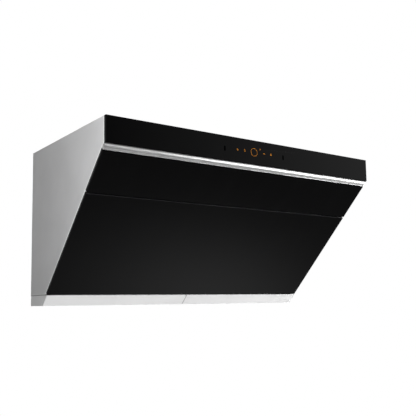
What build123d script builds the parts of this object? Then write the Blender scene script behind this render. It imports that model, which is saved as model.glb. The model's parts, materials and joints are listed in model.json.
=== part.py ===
"""Wall-mounted side-draft range hood: a slanted black glass front whose lower panel swings out on
two gooseneck arms, a squirrel-cage fan in a spiral housing behind it, and two grease cups below.

Frame: +X across the width, +Y into the wall, +Z up. The wall is the plane y = 0. The origin is the
centre of the four wall screws. All lengths are millimetres.
"""
from build123d import *
from math import cos, hypot, pi, radians, sin
import os

os.makedirs("parts", exist_ok=True)

# ---------------------------------------------------------------- driving sizes
width = 895.0               # over both side panels
height = 436.0              # top panel to the underside of the grease cups
depth = 459.0               # wall to the face of the control glass
bottom_depth = 89.0         # wall to the foot of the slanted front
top_z = 46.0                # top panel above the wall screws
fascia_height = 66.0        # upright control glass

sheet = 1.5                 # casing sheet
flange = 14.0               # width of the side panels' turned edges
edge_round = 1.2            # outer round of the side panels' front edges
glass = 4.0
glass_arris = 0.6           # ground edge round the front of each glass
flap_frame_depth = 4.0      # steel pan behind the flap's glass
bumper_gap = 1.5            # closed flap to the casing
bumper_clearance = 0.3
body_clearance = 0.5        # between bodies that pass each other

trim_height = 20.6          # lamp strip, measured down the slope
panel_gap = 1.0             # lamp strip to the fixed glass
upper_length = 121.4        # fixed slanted glass
flap_seam = 4.0             # fixed glass to the flap
cup_height = 28.0
cup_wall = 1.8
cup_seam = 1.0              # between the two cups

pivot_drop = 91.0           # flap pivot, down the slope from the control glass
pivot_inset = 19.0          # and behind the face of the slope
pivot_r = 4.0
hub_r = 7.0
arm_width = 20.0            # gooseneck, across the bend
arm_leg = 13.0              # gooseneck, straight leg
arm_thickness = 6.0
arm_from_side = 32.5        # inner face of the arm to the side panel's outer face
arm_clearance = 2.5         # bend to the fixed glass's lower edge
run_gap = 0.05              # shaft in hole, on the radius

liner_from_side = 39.5      # suction cavity to the side panel's outer face
liner_depth = 60.0          # suction cavity, from the face of the slope
liner_sheet = 1.2
liner_margin = 13.5         # foot of the cavity above the flap's lower edge
lip = 20.0                  # turned lips that hold the cavity liner

filter_width = 460.0
filter_length = 230.0
filter_drop = 310.0         # filter centre, down the slope
filter_body = 9.0
filter_rim = 8.0
filter_clearance = 0.3

fan_x = -85.0               # impeller axis
fan_drop = 151.0            # impeller axis below the top panel
fan_r = 92.0
fan_eye_r = 78.0
fan_length = 99.0
blade_count = 38
blade_thickness = 1.2
scroll_depth = 121.5
scroll_tongue_r = 100.0
scroll_outlet_r = 150.0
tongue_angle = 65.0
scroll_sheet = 1.5

duct_r = 75.0               # outside of the duct collar
duct_wall = 1.5
duct_height = 60.0
duct_from_wall = 105.0

back_recess = 12.0          # back panel to the wall
hole_x = 280.0              # wall screws, half spacing
hole_z = 12.0
hole_r = 4.0

# ---------------------------------------------------------------- derived places
half = width / 2
arm_x = half - arm_from_side
liner_half = half - liner_from_side
bottom_z = top_z - height
fascia_z = top_z - fascia_height
slope_drop = height - fascia_height
slope_run = depth - bottom_depth
slope_length = hypot(slope_drop, slope_run)
set_back = glass + flap_frame_depth + bumper_gap
front_y = set_back - depth              # plane of the casing behind the control glass
cup_top_z = bottom_z + cup_height
side_bottom_z = cup_top_z + body_clearance
back_y = -back_recess - sheet           # room side of the back panel
duct_y = -duct_from_wall
fan_z = top_z - fan_drop


def slope_yz(v, w):
    """Place of a point v up the slope and w out of it, as (y, z)."""
    y = -depth - (slope_run * v + slope_drop * w) / slope_length
    z = fascia_z + (slope_drop * v - slope_run * w) / slope_length
    return y, z


def v_at_height(z, w):
    """How far up the slope the plane w out of it reaches the height z."""
    return ((z - fascia_z) * slope_length + slope_run * w) / slope_drop


def v_at_front(y, w):
    """How far up the slope the plane w out of it reaches the upright plane y."""
    return (-(y + depth) * slope_length - slope_drop * w) / slope_run


up_slope = Vector(0, -slope_run, slope_drop).normalized()
out_slope = Vector(0, -slope_drop, -slope_run).normalized()
slope_foot = Vector(0, -depth, fascia_z)
SLOPE = Plane(origin=slope_foot, x_dir=(1, 0, 0), z_dir=out_slope)
SECTION = Plane(origin=slope_foot, x_dir=up_slope, z_dir=(1, 0, 0))
OUTWARD = Axis(slope_foot, out_slope)

trim_bottom = -trim_height
upper_top = trim_bottom - panel_gap
upper_bottom = upper_top - upper_length
flap_top = upper_bottom - flap_seam
flap_bottom = v_at_height(cup_top_z, 0) + body_clearance * slope_length / slope_drop
liner_top = upper_bottom
liner_bottom = flap_bottom + liner_margin
PIVOT = Plane(
    origin=slope_foot - pivot_drop * up_slope - pivot_inset * out_slope,
    x_dir=up_slope,
    z_dir=(1, 0, 0),
)


def polygon(points, mode=Mode.ADD):
    """A flat face with straight sides through the points."""
    with BuildLine() as outline:
        Polyline(*points, close=True)
    make_face(outline.edges(), mode=mode)


def finish(builder, name):
    """Name the finished piece and write it."""
    builder.part.label = name
    export_step(builder.part, f"parts/{name}.step")


def side_name(stem, sign):
    return f"{stem}_{'left' if sign < 0 else 'right'}"


SIDES = (-1, 1)
FULL_TURN = 360.0
first_hole = 45.0           # direction of a ring's first screw, degrees

# ---------------------------------------------------------------- casing screws, shared sizes
screw_r = 2.0
screw_head_r = 4.0
screw_head = 2.4
screw_clearance = 0.2
screw_length = 9.0
casing_screw_inset = 7.0
casing_screw_pitch = 130.0
casing_screw_count = 3
casing_screw_y = -depth / 2
collar_hole_circle = 84.0   # radius on which the collar's screws stand
collar_screw_count = 4
collar_flange_r = 90.0


def casing_screw_spots():
    """Centres of the screws that hold the top panel to the side panels."""
    rows = range(casing_screw_count)
    middle = (casing_screw_count - 1) / 2
    spots = []
    for sign in SIDES:
        for row in rows:
            spots.append((sign * (half - casing_screw_inset),
                          casing_screw_y + (row - middle) * casing_screw_pitch))
    return spots


# ---------------------------------------------------------------- side panels


def side_outline(top, inset):
    """Outline of a side panel, moved inwards by inset on every edge."""
    front = front_y + inset
    plane = -set_back - inset
    kink = slope_yz(v_at_front(front, plane), plane)
    foot = slope_yz(v_at_height(side_bottom_z + inset, plane), plane)
    return [(-inset, top - inset), (front, top - inset), kink, foot,
            (-inset, side_bottom_z + inset)]


for sign in SIDES:
    with BuildPart() as side_panel:
        with BuildSketch(Plane.YZ.offset(sign * half)):
            polygon(side_outline(top_z, 0))
        extrude(amount=-sign * sheet)
        with BuildSketch(Plane.YZ.offset(sign * half)):
            polygon(side_outline(top_z - sheet, 0))
            polygon(side_outline(top_z - sheet, sheet), mode=Mode.SUBTRACT)
        extrude(amount=-sign * flange)
        outer = side_panel.faces().sort_by(Axis.X)[-1 if sign > 0 else 0]
        front_edges = outer.edges().filter_by(
            lambda e: abs(e.tangent_at(0).Z) > 0.1 and e.center().Y < -sheet
        )
        fillet(front_edges, edge_round)
        with Locations(*[(x, y, top_z - sheet) for x, y in casing_screw_spots()
                         if x * sign > 0]):
            Cylinder(screw_r + screw_clearance, 4 * sheet, mode=Mode.SUBTRACT)
        # The top flange stops at the back panel.
        with BuildSketch(Plane.YZ.offset(sign * (half - sheet))):
            with Locations(((back_y - sheet) / 2, top_z - 1.5 * sheet)):
                Rectangle(-back_y - sheet, sheet)
        extrude(amount=-sign * flange, mode=Mode.SUBTRACT)
    finish(side_panel, side_name("side_panel", sign))

# ---------------------------------------------------------------- top panel and duct collar
gland_from_side = 187.5
gland_x = half - gland_from_side
gland_y = -62.0
gland_thread_r = 8.0
gland_window = 46.0         # square cut-out under the gland's plate
gland_plate_width = 86.0
gland_plate_depth = 64.0
gland_plate_round = 3.0
gland_plate_pitch = 68.0    # between the plate's two screws
gland_plate_sheet = 1.5
duct_inner_r = duct_r - duct_wall
bead_width = 14.0           # beads pressed in the flat sheets
bead_rise = 2.5
bead_taper = 30.0
top_bead_length = 700.0
top_bead_y = -345.0
top_bead_pitch = 55.0
top_bead_count = 3


def pressed_beads(face, beads):
    """Presses beads out of a sheet. face is the side they rise from, and beads draws them in a
    sketch at the width it is given; the second, narrower drawing hollows them from behind."""
    with BuildSketch(face) as raised:
        beads(0)
    extrude(raised.sketch, amount=bead_rise, taper=bead_taper)
    with BuildSketch(face.offset(-sheet)) as hollow:
        beads(2 * sheet)
    extrude(hollow.sketch, amount=bead_rise, taper=bead_taper, mode=Mode.SUBTRACT)


def top_beads(less):
    """The top panel's beads run across, in front of the duct collar."""
    with Locations((0, top_bead_y)):
        with GridLocations(0, top_bead_pitch, 1, top_bead_count):
            SlotOverall(top_bead_length - less, bead_width - less)


with BuildPart() as top_panel:
    with BuildSketch(Plane.XY.offset(top_z - sheet)):
        with Locations((0, front_y / 2)):
            Rectangle(2 * (half - sheet), -front_y)
        with Locations(*casing_screw_spots()):
            Circle(screw_r + screw_clearance, mode=Mode.SUBTRACT)
        with Locations((0, duct_y)):
            Circle(duct_inner_r, mode=Mode.SUBTRACT)
            with PolarLocations(collar_hole_circle, collar_screw_count, first_hole):
                Circle(screw_r + screw_clearance, mode=Mode.SUBTRACT)
        with Locations((gland_x, gland_y)):
            Rectangle(gland_window, gland_window, mode=Mode.SUBTRACT)
            with GridLocations(gland_plate_pitch, 0, 2, 1):
                Circle(screw_r + screw_clearance, mode=Mode.SUBTRACT)
    extrude(amount=sheet)
    pressed_beads(Plane.XY.offset(top_z), top_beads)
finish(top_panel, "top_panel")

with BuildPart() as gland_plate:
    with BuildSketch(Plane.XY.offset(top_z)):
        with Locations((gland_x, gland_y)):
            RectangleRounded(gland_plate_width, gland_plate_depth, gland_plate_round)
            Circle(gland_thread_r + screw_clearance, mode=Mode.SUBTRACT)
            with GridLocations(gland_plate_pitch, 0, 2, 1):
                Circle(screw_r + screw_clearance, mode=Mode.SUBTRACT)
    extrude(amount=gland_plate_sheet)
finish(gland_plate, "gland_plate")

damper_z = top_z + duct_height / 2
damper_sheet = 1.2
damper_pin_r = 2.0
damper_barrel_r = 3.5
damper_edge_gap = 0.9
damper_rest_gap = 0.3
stop_width = 3.0
stop_thickness = 1.5
pin_recess = 0.4            # pin ends inside the collar's outer face

with BuildPart() as duct_collar:
    with BuildSketch(Plane.XY.offset(top_z + duct_wall)):
        with Locations((0, duct_y)):
            Circle(duct_r)
            Circle(duct_inner_r, mode=Mode.SUBTRACT)
    extrude(amount=duct_height - duct_wall)
    with BuildSketch(Plane.XZ.offset(-duct_y - duct_r)):
        with Locations((0, damper_z)):
            Circle(damper_pin_r)
    extrude(amount=2 * duct_r, mode=Mode.SUBTRACT)
finish(duct_collar, "duct_collar")

with BuildPart() as collar_flange:
    with BuildSketch(Plane.XY.offset(top_z)):
        with Locations((0, duct_y)):
            Circle(collar_flange_r)
            Circle(duct_inner_r, mode=Mode.SUBTRACT)
            with PolarLocations(collar_hole_circle, collar_screw_count, first_hole):
                Circle(screw_r + screw_clearance, mode=Mode.SUBTRACT)
    extrude(amount=duct_wall)
finish(collar_flange, "collar_flange")

with BuildPart() as damper_stop:
    with BuildSketch(Plane.XY.offset(damper_z - damper_sheet / 2 - damper_rest_gap)):
        with Locations((0, duct_y)):
            Circle(duct_inner_r)
            Circle(duct_inner_r - stop_width, mode=Mode.SUBTRACT)
    extrude(amount=-stop_thickness)
    with BuildSketch(Plane.XZ.offset(-duct_y - duct_r)):
        with Locations((0, damper_z)):
            Circle(damper_pin_r)
    extrude(amount=2 * duct_r, mode=Mode.SUBTRACT)
finish(damper_stop, "damper_stop")

with BuildPart() as damper_pin:
    with BuildSketch(Plane.XZ.offset(-duct_y - duct_r + pin_recess)):
        with Locations((0, damper_z)):
            Circle(damper_pin_r)
    extrude(amount=2 * (duct_r - pin_recess))
finish(damper_pin, "damper_pin")

# Each flap is half a disc with knuckles that share the pin in turn.
knuckle_span = 2 * (duct_inner_r - stop_width - 1.0)
knuckle_count = 5
knuckle_gap = 0.6
knuckle_pitch = knuckle_span / knuckle_count
damper_r = duct_inner_r - damper_edge_gap
hinge_gap = damper_barrel_r + knuckle_gap

for sign in SIDES:
    own = [n for n in range(knuckle_count) if n % 2 == (0 if sign > 0 else 1)]
    knuckle_y = [duct_y + (n - (knuckle_count - 1) / 2) * knuckle_pitch for n in own]
    with BuildPart() as damper_flap:
        with BuildSketch(Plane.XY.offset(damper_z - damper_sheet / 2)):
            with Locations((0, duct_y)):
                Circle(damper_r)
            with Locations((-sign * (damper_r - hinge_gap), duct_y)):
                Rectangle(2 * damper_r, 2 * damper_r, mode=Mode.SUBTRACT)
            with Locations(*[(sign * (hinge_gap + damper_pin_r) / 2, y) for y in knuckle_y]):
                Rectangle(hinge_gap, knuckle_pitch - knuckle_gap)
        extrude(amount=damper_sheet)
        for y in knuckle_y:
            with BuildSketch(Plane.XZ.offset(-y - (knuckle_pitch - knuckle_gap) / 2)):
                with Locations((0, damper_z)):
                    Circle(damper_barrel_r)
            extrude(amount=knuckle_pitch - knuckle_gap)
        with BuildSketch(Plane.XZ.offset(-duct_y - duct_r)):
            with Locations((0, damper_z)):
                Circle(damper_pin_r + run_gap)
        extrude(amount=2 * duct_r, mode=Mode.SUBTRACT)
    finish(damper_flap, side_name("damper_flap", sign))

# ---------------------------------------------------------------- back panel and wall rail
rail_half = 300.0
wall_plate = 2.0
rail_low = -20.0
rail_high = 22.0
hook_reach = 9.0            # wall to the front of the upturned edge
hook_rise = 10.0
hook_gap = 1.5
hanger_low = 8.0
back_bead_length = 190.0
back_bead_drop = 205.0      # middle of the back panel's beads below the wall screws
back_bead_pitch = 140.0
back_bead_count = 6
WALL_SIDE = Plane(origin=(0, -back_recess, 0), x_dir=(1, 0, 0), z_dir=(0, 1, 0))


def back_beads(less):
    """The back panel's beads stand upright."""
    with Locations((0, back_bead_drop)):
        with GridLocations(back_bead_pitch, 0, back_bead_count, 1):
            SlotOverall(back_bead_length - less, bead_width - less, rotation=90)


with BuildPart() as back_panel:
    panel_low = side_bottom_z + sheet
    panel_high = top_z - sheet
    with BuildSketch(Plane.XZ.offset(back_recess)):
        with Locations((0, (panel_low + panel_high) / 2)):
            Rectangle(2 * (half - sheet), panel_high - panel_low)
    extrude(amount=sheet)
    with BuildSketch(Plane.XZ.offset(sheet)):
        with Locations((0, (panel_low + panel_high) / 2)):
            Rectangle(2 * (half - sheet), panel_high - panel_low)
            Rectangle(2 * (half - 2 * sheet), panel_high - panel_low - 2 * sheet,
                      mode=Mode.SUBTRACT)
    extrude(amount=back_recess - sheet)
    pressed_beads(WALL_SIDE, back_beads)
finish(back_panel, "back_panel")

with BuildPart() as wall_bracket:
    with BuildSketch(Plane.YZ.offset(-rail_half)):
        polygon([(0, rail_low), (0, rail_high), (-hook_reach + wall_plate, rail_high),
                 (-hook_reach + wall_plate, rail_high + hook_rise),
                 (-hook_reach, rail_high + hook_rise), (-hook_reach, rail_high - wall_plate),
                 (-wall_plate, rail_high - wall_plate), (-wall_plate, rail_low)])
    extrude(amount=2 * rail_half)
    with BuildSketch(Plane.XZ):
        with GridLocations(2 * hole_x, 2 * hole_z, 2, 2):
            Circle(hole_r)
    extrude(amount=wall_plate, mode=Mode.SUBTRACT)
finish(wall_bracket, "wall_bracket")

with BuildPart() as hanger_rail:
    seat_z = rail_high + hook_rise
    inner_y = -hook_reach + wall_plate + hook_gap
    with BuildSketch(Plane.YZ.offset(-rail_half)):
        polygon([(-back_recess, hanger_low), (-back_recess, seat_z + wall_plate),
                 (inner_y + wall_plate, seat_z + wall_plate),
                 (inner_y + wall_plate, rail_high + wall_plate),
                 (inner_y, rail_high + wall_plate), (inner_y, seat_z),
                 (wall_plate - back_recess, seat_z), (wall_plate - back_recess, hanger_low)])
    extrude(amount=2 * rail_half)
finish(hanger_rail, "hanger_rail")

# ---------------------------------------------------------------- front and bottom cross members
member_half = half - flange
wire_slot_width = 60.0
wire_slot_height = 16.0
wire_slot_drop = 30.0
wire_inset_x = 10.0         # slot in the carrier, narrower than the casing's
wire_inset_z = 6.0
wire_slot_z = top_z - wire_slot_drop

with BuildPart() as front_channel:
    plane = -set_back
    with BuildSketch(Plane.YZ.offset(-member_half)):
        polygon([
            (front_y + flange, top_z - sheet), (front_y, top_z - sheet),
            slope_yz(v_at_front(front_y, plane), plane), slope_yz(upper_bottom, plane),
            slope_yz(upper_bottom, plane - lip), slope_yz(upper_bottom + sheet, plane - lip),
            slope_yz(upper_bottom + sheet, plane - sheet),
            slope_yz(v_at_front(front_y + sheet, plane - sheet), plane - sheet),
            (front_y + sheet, top_z - 2 * sheet), (front_y + flange, top_z - 2 * sheet),
        ])
    extrude(amount=2 * member_half)
    # The lip stops short of the arms.
    for sign in SIDES:
        with BuildSketch(SECTION.offset(sign * member_half)):
            with Locations((upper_bottom, plane - sheet - lip / 2)):
                Rectangle(4 * sheet, lip)
        extrude(amount=-sign * (member_half - liner_half), mode=Mode.SUBTRACT)
    with BuildSketch(Plane.XZ.offset(-front_y)):
        with Locations((0, wire_slot_z)):
            SlotOverall(wire_slot_width, wire_slot_height)
    extrude(amount=-2 * sheet, mode=Mode.SUBTRACT)
finish(front_channel, "front_channel")

drain_x = half / 2
drain_length = 60.0
drain_width = 8.0

with BuildPart() as bottom_rail:
    plane = -set_back
    low = side_bottom_z
    with BuildSketch(Plane.YZ.offset(-member_half)):
        polygon([
            (back_y, low + flange), (back_y, low),
            slope_yz(v_at_height(low, plane), plane), slope_yz(liner_bottom, plane),
            slope_yz(liner_bottom, plane - lip), slope_yz(liner_bottom - sheet, plane - lip),
            slope_yz(liner_bottom - sheet, plane - sheet),
            slope_yz(v_at_height(low + sheet, plane - sheet), plane - sheet),
            (back_y - sheet, low + sheet), (back_y - sheet, low + flange),
        ])
    extrude(amount=2 * member_half)
    # Two slots drain into the cups.
    with BuildSketch(Plane.XY.offset(low)):
        with Locations((-drain_x, -bottom_depth / 2 - flange), (drain_x, -bottom_depth / 2 - flange)):
            SlotOverall(drain_length, drain_width)
    extrude(amount=sheet, mode=Mode.SUBTRACT)
finish(bottom_rail, "bottom_rail")

# ---------------------------------------------------------------- control glass
ring_x = -5.5
sensor_x = 102.0
sensor_drop = 35.0
sensor_width = 5.0
sensor_height = 14.0
board_width = 232.0
board_height = 34.0
board_thickness = 1.6
board_drop = 33.0
board_pocket = 2.4
carrier_depth = set_back - glass


def sensor_slots(mode=Mode.ADD):
    with Locations((ring_x / 2 - sensor_x, top_z - sensor_drop),
                   (ring_x / 2 + sensor_x, top_z - sensor_drop)):
        SlotOverall(sensor_height, sensor_width, rotation=90, mode=mode)


with BuildPart() as fascia_glass:
    with BuildSketch(Plane.XZ.offset(depth)):
        with Locations((0, (top_z + fascia_z) / 2)):
            Rectangle(width, fascia_height)
    extrude(amount=-glass)
    chamfer(fascia_glass.faces().sort_by(Axis.Y)[0].edges(), glass_arris)
    with BuildSketch(Plane.XZ.offset(depth)):
        sensor_slots()
    extrude(amount=-glass, mode=Mode.SUBTRACT)
finish(fascia_glass, "fascia_glass")

with BuildPart() as sensor_windows:
    with BuildSketch(Plane.XZ.offset(depth)):
        sensor_slots()
    extrude(amount=-glass)
finish(sensor_windows, "sensor_windows")

with BuildPart() as fascia_frame:
    with BuildSketch(Plane.XZ.offset(depth - glass)):
        with Locations((0, (top_z + fascia_z) / 2)):
            Rectangle(width, fascia_height)
    extrude(amount=-carrier_depth)
    with BuildSketch(Plane.XZ.offset(depth - glass)):
        with Locations((0, top_z - board_drop)):
            Rectangle(board_width, board_height)
    extrude(amount=-board_pocket, mode=Mode.SUBTRACT)
    with BuildSketch(Plane.XZ.offset(depth - glass)):
        with Locations((0, wire_slot_z)):
            SlotOverall(wire_slot_width - wire_inset_x, wire_slot_height - wire_inset_z)
    extrude(amount=-carrier_depth, mode=Mode.SUBTRACT)
finish(fascia_frame, "fascia_frame")

key_r = 5.0
key_pitch = 22.0
key_count = 7

with BuildPart() as touch_board:
    board_face = depth - glass - board_pocket + board_thickness
    with BuildSketch(Plane.XZ.offset(board_face)):
        with Locations((0, top_z - board_drop)):
            Rectangle(board_width - 1, board_height - 1)
    extrude(amount=-board_thickness)
    with BuildSketch(Plane.XZ.offset(board_face)):
        with Locations((ring_x, top_z - board_drop)):
            with GridLocations(key_pitch, 0, key_count, 1):
                Circle(key_r)
    extrude(amount=board_pocket - board_thickness)
finish(touch_board, "touch_board")

# ---------------------------------------------------------------- lamp strip
strip_top_gap = 1.1
bullnose = 10.4             # height of the rounded upper band
bullnose_rise = 1.2
groove_width = 0.8
groove_depth = 1.4
diffuser_depth = 2.4
diffuser_fit = 0.1
strip_foot = 0.9            # extrusion below the diffuser
lamp_ledge = 1.2            # ledges that the diffuser rests on
lamp_back = 1.4             # extrusion behind the lamp board
strip_end = 1.5
lamp_board_thickness = 1.0
led_size = 3.0
led_height = 0.8
led_count = 21
led_end = 47.5              # last lamp to the end of the strip
led_pitch = (width - 2 * led_end) / (led_count - 1)


def level_v(w):
    """Up-slope place, at the depth w, of the level plane just under the control glass."""
    return w * slope_run / slope_drop - strip_top_gap


face_w = -bullnose_rise
strip_v = level_v(face_w)
band_v = strip_v - bullnose
recess_v = band_v - groove_width
foot_v = trim_bottom + strip_foot
ledge_w = face_w - diffuser_depth
lamp_w = -set_back + lamp_back


def section_box(v0, v1, w0, w1, mode=Mode.ADD):
    with Locations(((v0 + v1) / 2, (w0 + w1) / 2)):
        Rectangle(abs(v1 - v0), abs(w1 - w0), mode=mode)


with BuildPart() as trim_strip:
    with BuildSketch(SECTION.offset(-half)):
        with BuildLine():
            ThreePointArc((strip_v, face_w), ((strip_v + band_v) / 2, 0), (band_v, face_w))
            Polyline((band_v, face_w), (trim_bottom, face_w), (trim_bottom, -set_back),
                     (level_v(-set_back), -set_back), (strip_v, face_w))
        make_face()
    extrude(amount=width)
    with BuildSketch(SECTION.offset(-half + strip_end)):
        section_box(recess_v, band_v, face_w - groove_depth, 0)
        section_box(foot_v, recess_v, ledge_w, 0)
        section_box(foot_v + lamp_ledge, recess_v - lamp_ledge, lamp_w, ledge_w)
    extrude(amount=width - 2 * strip_end, mode=Mode.SUBTRACT)
finish(trim_strip, "trim_strip")

with BuildPart() as lamp_diffuser:
    with BuildSketch(SECTION.offset(-half + strip_end + diffuser_fit)):
        section_box(foot_v + diffuser_fit, recess_v - diffuser_fit, ledge_w, face_w)
    extrude(amount=width - 2 * (strip_end + diffuser_fit))
finish(lamp_diffuser, "lamp_diffuser")

with BuildPart() as lamp_board:
    low_v = foot_v + lamp_ledge + diffuser_fit
    high_v = recess_v - lamp_ledge - diffuser_fit
    with BuildSketch(SECTION.offset(-half + strip_end + diffuser_fit)):
        section_box(low_v, high_v, lamp_w, lamp_w + lamp_board_thickness)
    extrude(amount=width - 2 * (strip_end + diffuser_fit))
    with BuildSketch(SLOPE.offset(lamp_w + lamp_board_thickness)):
        with Locations((0, (low_v + high_v) / 2)):
            with GridLocations(led_pitch, 0, led_count, 1):
                Rectangle(led_size, led_size)
    extrude(amount=led_height)
finish(lamp_board, "lamp_board")

# ---------------------------------------------------------------- fixed glass and flap
frame_rim = 12.0
frame_back = 1.2
rib_width = 6.0
rib_fields = 6


def slope_panel(top, bottom, face, thickness):
    """A full-width plate on the slope between two places, its face w out of the slope."""
    with BuildSketch(SLOPE.offset(face)) as plate:
        with Locations((0, (top + bottom) / 2)):
            Rectangle(width, top - bottom)
    extrude(plate.sketch, amount=-thickness)


def pan_pockets(top, bottom, face, thickness):
    """Shallow fields between the ribs of a pan that stands behind a glass."""
    pitch = (width - 2 * frame_rim + rib_width) / rib_fields
    with BuildSketch(SLOPE.offset(face)) as fields:
        with Locations((0, (top + bottom) / 2)):
            with GridLocations(pitch, 0, rib_fields, 1):
                Rectangle(pitch - rib_width, top - bottom - 2 * frame_rim)
    extrude(fields.sketch, amount=-(thickness - frame_back), mode=Mode.SUBTRACT)


with BuildPart() as upper_glass:
    slope_panel(upper_top, upper_bottom, 0, glass)
    chamfer(upper_glass.faces().sort_by(OUTWARD)[-1].edges(), glass_arris)
finish(upper_glass, "upper_glass")

with BuildPart() as upper_frame:
    slope_panel(upper_top, upper_bottom, -glass, carrier_depth)
    pan_pockets(upper_top, upper_bottom, -glass, carrier_depth)
finish(upper_frame, "upper_frame")

with BuildPart() as flap_glass:
    slope_panel(flap_top, flap_bottom, 0, glass)
    chamfer(flap_glass.faces().sort_by(OUTWARD)[-1].edges(), glass_arris)
finish(flap_glass, "flap_glass")

with BuildPart() as flap_frame:
    slope_panel(flap_top, flap_bottom, -glass, flap_frame_depth)
    pan_pockets(flap_top, flap_bottom, -glass, flap_frame_depth)
finish(flap_frame, "flap_frame")

# ---------------------------------------------------------------- flap hinge
# The bend of each arm is a quarter ring about the pivot, so that the arm passes round the lower
# edge of the fixed glass while the flap turns.
flap_back_n = pivot_inset - glass - flap_frame_depth
edge_radius = hypot(pivot_drop + upper_bottom, pivot_inset)
bend_in = edge_radius + arm_clearance
bend_out = bend_in + arm_width
bend_angle = 96.0
foot_length = 42.0
foot_width = 16.0
foot_thickness = 2.5
washer_gap = 0.3
ear_thickness = 3.0
ear_gap = 5.0               # inboard ear's inner face to the arm
ear_in = arm_x - ear_gap
ear_top = 7.5
ear_low = 14.0
ear_bridge = 12.0
pin_head_r = 6.0
pin_head = 2.2

for sign in SIDES:
    with BuildPart() as gooseneck:
        with BuildSketch(PIVOT.offset(sign * arm_x)):
            Circle(hub_r)
            with Locations((0, -(bend_in + bend_out) / 4)):
                Rectangle(arm_leg, (bend_in + bend_out) / 2)
            with BuildLine():
                outer = CenterArc((0, 0), bend_out, 180, bend_angle)
                inner = CenterArc((0, 0), bend_in, 180, bend_angle)
                Line(outer @ 0, inner @ 0)
                Line(outer @ 1, inner @ 1)
            make_face()
            section_box(-bend_out, -bend_in, 0, flap_back_n)
            Circle(pivot_r, mode=Mode.SUBTRACT)
        extrude(amount=sign * arm_thickness)
        with BuildSketch(PIVOT.offset(sign * (arm_x - foot_width / 2 + arm_thickness / 2))):
            section_box(-bend_in - foot_length, -bend_in, flap_back_n - foot_thickness,
                        flap_back_n)
        extrude(amount=sign * foot_width)
    finish(gooseneck, side_name("gooseneck", sign))

    with BuildPart() as pivot_bracket:
        with BuildSketch(PIVOT.offset(sign * ear_in)):
            Circle(ear_top)
            section_box(0, ear_bridge + ear_thickness, -ear_low, ear_top)
        extrude(amount=sign * (half - sheet - ear_in))
        with BuildSketch(PIVOT.offset(sign * (ear_in + ear_thickness))):
            section_box(-2 * ear_top, ear_bridge, -2 * ear_low, 2 * ear_top)
        extrude(amount=sign * (half - sheet - ear_in - 2 * ear_thickness), mode=Mode.SUBTRACT)
        with BuildSketch(PIVOT.offset(sign * ear_in)):
            Circle(pivot_r + run_gap)
        extrude(amount=sign * (half - ear_in), mode=Mode.SUBTRACT)
    finish(pivot_bracket, side_name("pivot_bracket", sign))

shaft_end = half - sheet - body_clearance

with BuildPart() as pivot_pin:
    with BuildSketch(PIVOT.offset(ear_in - washer_gap)):
        Circle(pivot_r)
    extrude(amount=shaft_end - ear_in + washer_gap)
    with BuildSketch(PIVOT.offset(ear_in - washer_gap)):
        Circle(pin_head_r)
    extrude(amount=-pin_head)
finish(pivot_pin, "pivot_pin")

gear_width = 28.0
gear_up = 45.0
gear_back = 9.0
gear_low = 42.0
gear_high = 7.0
gear_bore = 22.0
motor_can_r = 15.0
motor_can_length = 60.0
motor_offset = 26.0
motor_low = 22.0

with BuildPart() as drive_shaft:
    with BuildSketch(PIVOT.offset(-shaft_end)):
        Circle(pivot_r)
    extrude(amount=shaft_end - ear_in + gear_bore - 1)
finish(drive_shaft, "drive_shaft")

with BuildPart() as flap_gearmotor:
    with BuildSketch(PIVOT.offset(-ear_in)):
        section_box(-gear_back, gear_up, -gear_low, gear_high)
    extrude(amount=gear_width)
    with BuildSketch(PIVOT.offset(-ear_in + gear_width)):
        with Locations((motor_offset, -motor_low)):
            Circle(motor_can_r)
    extrude(amount=motor_can_length)
    with BuildSketch(PIVOT.offset(-ear_in)):
        Circle(pivot_r + run_gap)
    extrude(amount=gear_bore, mode=Mode.SUBTRACT)
finish(flap_gearmotor, "flap_gearmotor")

# ---------------------------------------------------------------- rubber bumpers for the closed flap
bumper_r = 5.0
bumper_edge = 10.0

with BuildPart() as flap_bumpers:
    with BuildSketch(SLOPE.offset(-set_back)):
        for v in (liner_bottom - bumper_edge, liner_bottom + 4 * bumper_edge):
            with Locations((-half + flange / 2 + 1, v), (half - flange / 2 - 1, v)):
                Circle(bumper_r)
    extrude(amount=bumper_gap - bumper_clearance)
finish(flap_bumpers, "flap_bumpers")

# ---------------------------------------------------------------- suction cavity liner and filter
liner_face = -liner_depth
wall_top = -12.0
liner_drain_r = 4.0
liner_drain_gap = 2.0        # drain to the floor of the cavity

with BuildPart() as inlet_liner:
    with BuildSketch(SLOPE.offset(liner_face - liner_sheet)):
        with Locations((0, (liner_top + liner_bottom) / 2)):
            Rectangle(2 * liner_half, liner_top - liner_bottom)
    extrude(amount=liner_depth + liner_sheet + wall_top)
    with BuildSketch(SLOPE.offset(liner_face)):
        with Locations((0, (liner_top + liner_bottom) / 2)):
            Rectangle(2 * (liner_half - liner_sheet), liner_top - liner_bottom - 2 * liner_sheet)
    extrude(amount=liner_depth, mode=Mode.SUBTRACT)
    with BuildSketch(SLOPE.offset(liner_face)):
        with Locations((0, -filter_drop)):
            Rectangle(filter_width, filter_length)
    extrude(amount=-liner_sheet, mode=Mode.SUBTRACT)
    # Grease runs down the floor of the cavity and out through two drains.
    drain_w = liner_face + liner_drain_gap + liner_drain_r
    drain_origin = slope_foot + liner_bottom * up_slope + drain_w * out_slope
    with BuildSketch(Plane(origin=drain_origin, x_dir=(1, 0, 0), z_dir=up_slope)):
        with Locations((-drain_x, 0), (drain_x, 0)):
            Circle(liner_drain_r)
    extrude(amount=liner_sheet, mode=Mode.SUBTRACT)
finish(inlet_liner, "inlet_liner")

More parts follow.
